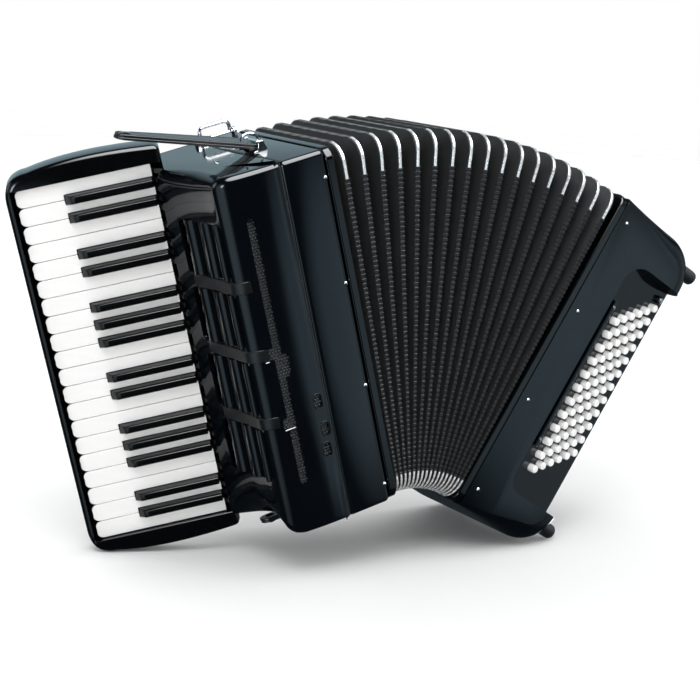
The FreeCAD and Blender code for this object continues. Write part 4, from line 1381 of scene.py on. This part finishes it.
ringLugs = piece("ringLugs", verts, faces, trebleFrame, [chrome], body="treble_section", slot="chrome")
bevel(ringLugs, 0.5, 2, 60)

strap = {"y": 68.0, "width": 28.0, "tip": 9.0, "layer": 2.6, "under": -2.4, "between": 0.12, "roll": 9.0,
         "pinTop": -32.0, "pinLow": -14.0, "pinOut": 7, "lengthTop": 148.0, "lengthBottom": 96.0,
         "lift": 18.7, "stitch": 3.4}


def strapPiece(name, x, z, angle, long, body, node, way):
    place = trebleFrame @ placed((x, strap["y"], z), "Y", angle) @ Matrix.Diagonal((1, 1, way, 1))
    w, tip = strap["width"], strap["tip"]
    mid = w / 2

    def plan(shrink):
        pts = arc((-1.5, mid + w / 2 - 7.5), 7.0 - shrink, 0, 90, 6)
        pts += arc((-long + 10, mid), tip - shrink, 90, 270, 12)
        pts += arc((-1.5, mid - w / 2 + 7.5), 7.0 - shrink, 270, 360, 6)
        return pts
    t = strap["layer"]
    hinge = Matrix.Translation((0, w, 0)) @ Matrix.Rotation(math.radians(strap["roll"]), 4, "X") @ \
        Matrix.Translation((0, -w, 0))
    level, place = place, place @ hinge
    under = strap["under"]
    lower = prism(plan(0.0), under, under + t, "z")
    upper = prism(plan(0.7), under + t + strap["between"], under + 2 * t, "z")
    verts, faces, _ = together(lower, upper)
    leather = piece(name, verts, faces, place, [strapLeather], body=body, nodeNames=[node],
                    slot="strap_leather")
    bevel(leather, 0.5, 3, 50)
    rim = plan(2.8)
    spots, gone = [], 0.0
    for k in range(len(rim) - 1):
        first, last = Vector(rim[k]), Vector(rim[k + 1])
        length = (last - first).length
        while gone <= length:
            q = first.lerp(last, gone / length)
            spots.append((q.x, q.y, under + 2 * t + 0.05))
            gone += strap["stitch"]
        gone -= length
    thread = ([(b * 0.75, a * 0.9, c * 0.9) for a, c, b in stitchBar[0]], stitchBar[1])
    scattered(name + "Stitches", thread, spots, place, threadBlack, body)
    barrel = lathe([(4.0, 2.75), (4.0, 3.3), (w - 4.0, 3.3), (w - 4.0, 2.75)], "y", 24)
    snap = moved(lathe([(-5.2, 3.4), (-5.0, 4.7), (-3.6, 4.9), (-3.1, 4.9)], "z", 24), (-long + 12, mid, 0))
    cap = moved(lathe([(1.1, 4.6), (1.6, 4.5), (2.1, 3.6), (2.3, 1.6)], "z", 24), (-long + 12, mid, 0))
    hoop = [(-9.5 + 9.5 * math.cos(math.radians(a)), 4.5, 1.8 + 7.4 * math.sin(math.radians(a)))
            for a in range(0, 191, 10)]
    parts = [barrel, snap, cap] + ([wire(hoop, 1.2, 10)] if way > 0 else [])
    verts, faces, _ = together(*parts)
    piece(name + "Metal", verts, faces, level, [chrome], body=body, slot="chrome")


pinHigh, pinDown = high + strap["pinOut"], -strap["pinOut"]
strapPiece("bellowsStrapTop", strap["pinTop"], pinHigh, strap["lift"], strap["lengthTop"], "strap_top",
           "bellows_strap_top", 1)
strapPiece("bellowsStrapBottom", strap["pinLow"], pinDown, 0, strap["lengthBottom"], "strap_bottom",
           "bellows_strap_bottom", -1)
posts = []
for x, z, sign in ((strap["pinTop"], pinHigh, 1), (strap["pinLow"], pinDown, -1)):
    for y in (strap["y"] - 1.9, strap["y"] + strap["width"] + 1.9):
        base = high if sign > 0 else 0
        tall = abs(z - base)
        side = [(x + 4.5, base), (x + 5.5, base + sign * 1.4)]
        for t in range(-10, 191, 20):
            turn = math.radians(t)
            side.append((x + 3.6 * math.cos(turn), base + sign * (tall + 3.6 * math.sin(turn))))
        side += [(x - 5.5, base + sign * 1.4), (x - 9.5, base + sign * 1.2), (x - 9.5, base)]
        posts.append(prism(side, y - 1.35, y + 1.35, "y"))
    posts.append(moved(lathe([(-2.2, 2.0), (strap["width"] + 2.2, 2.0)], "y", 18), (x, strap["y"], z)))
verts, faces, _ = together(*posts)
strapPosts = piece("strapPosts", verts, faces, trebleFrame, [chrome], body="treble_section", slot="chrome")
bevel(strapPosts, 0.4, 2, 60)
# one small stud on top of the cover
studShape = lathe([(-2.6, 2.2), (0, 2.4), (1.2, 2.1), (1.8, 1.2)], "z", 18)
scattered("topStud", studShape, [(-78, 75.5, high - 0.4)], trebleFrame, chrome, "treble_section")
repaint("treble_reed_blocks", stickWood)
print("straps and fittings made")

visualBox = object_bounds()
for label, box in (("cad", cadBox), ("visual", visualBox)):
    print(label, [tuple(round(c, 4) for c in v) for v in box])
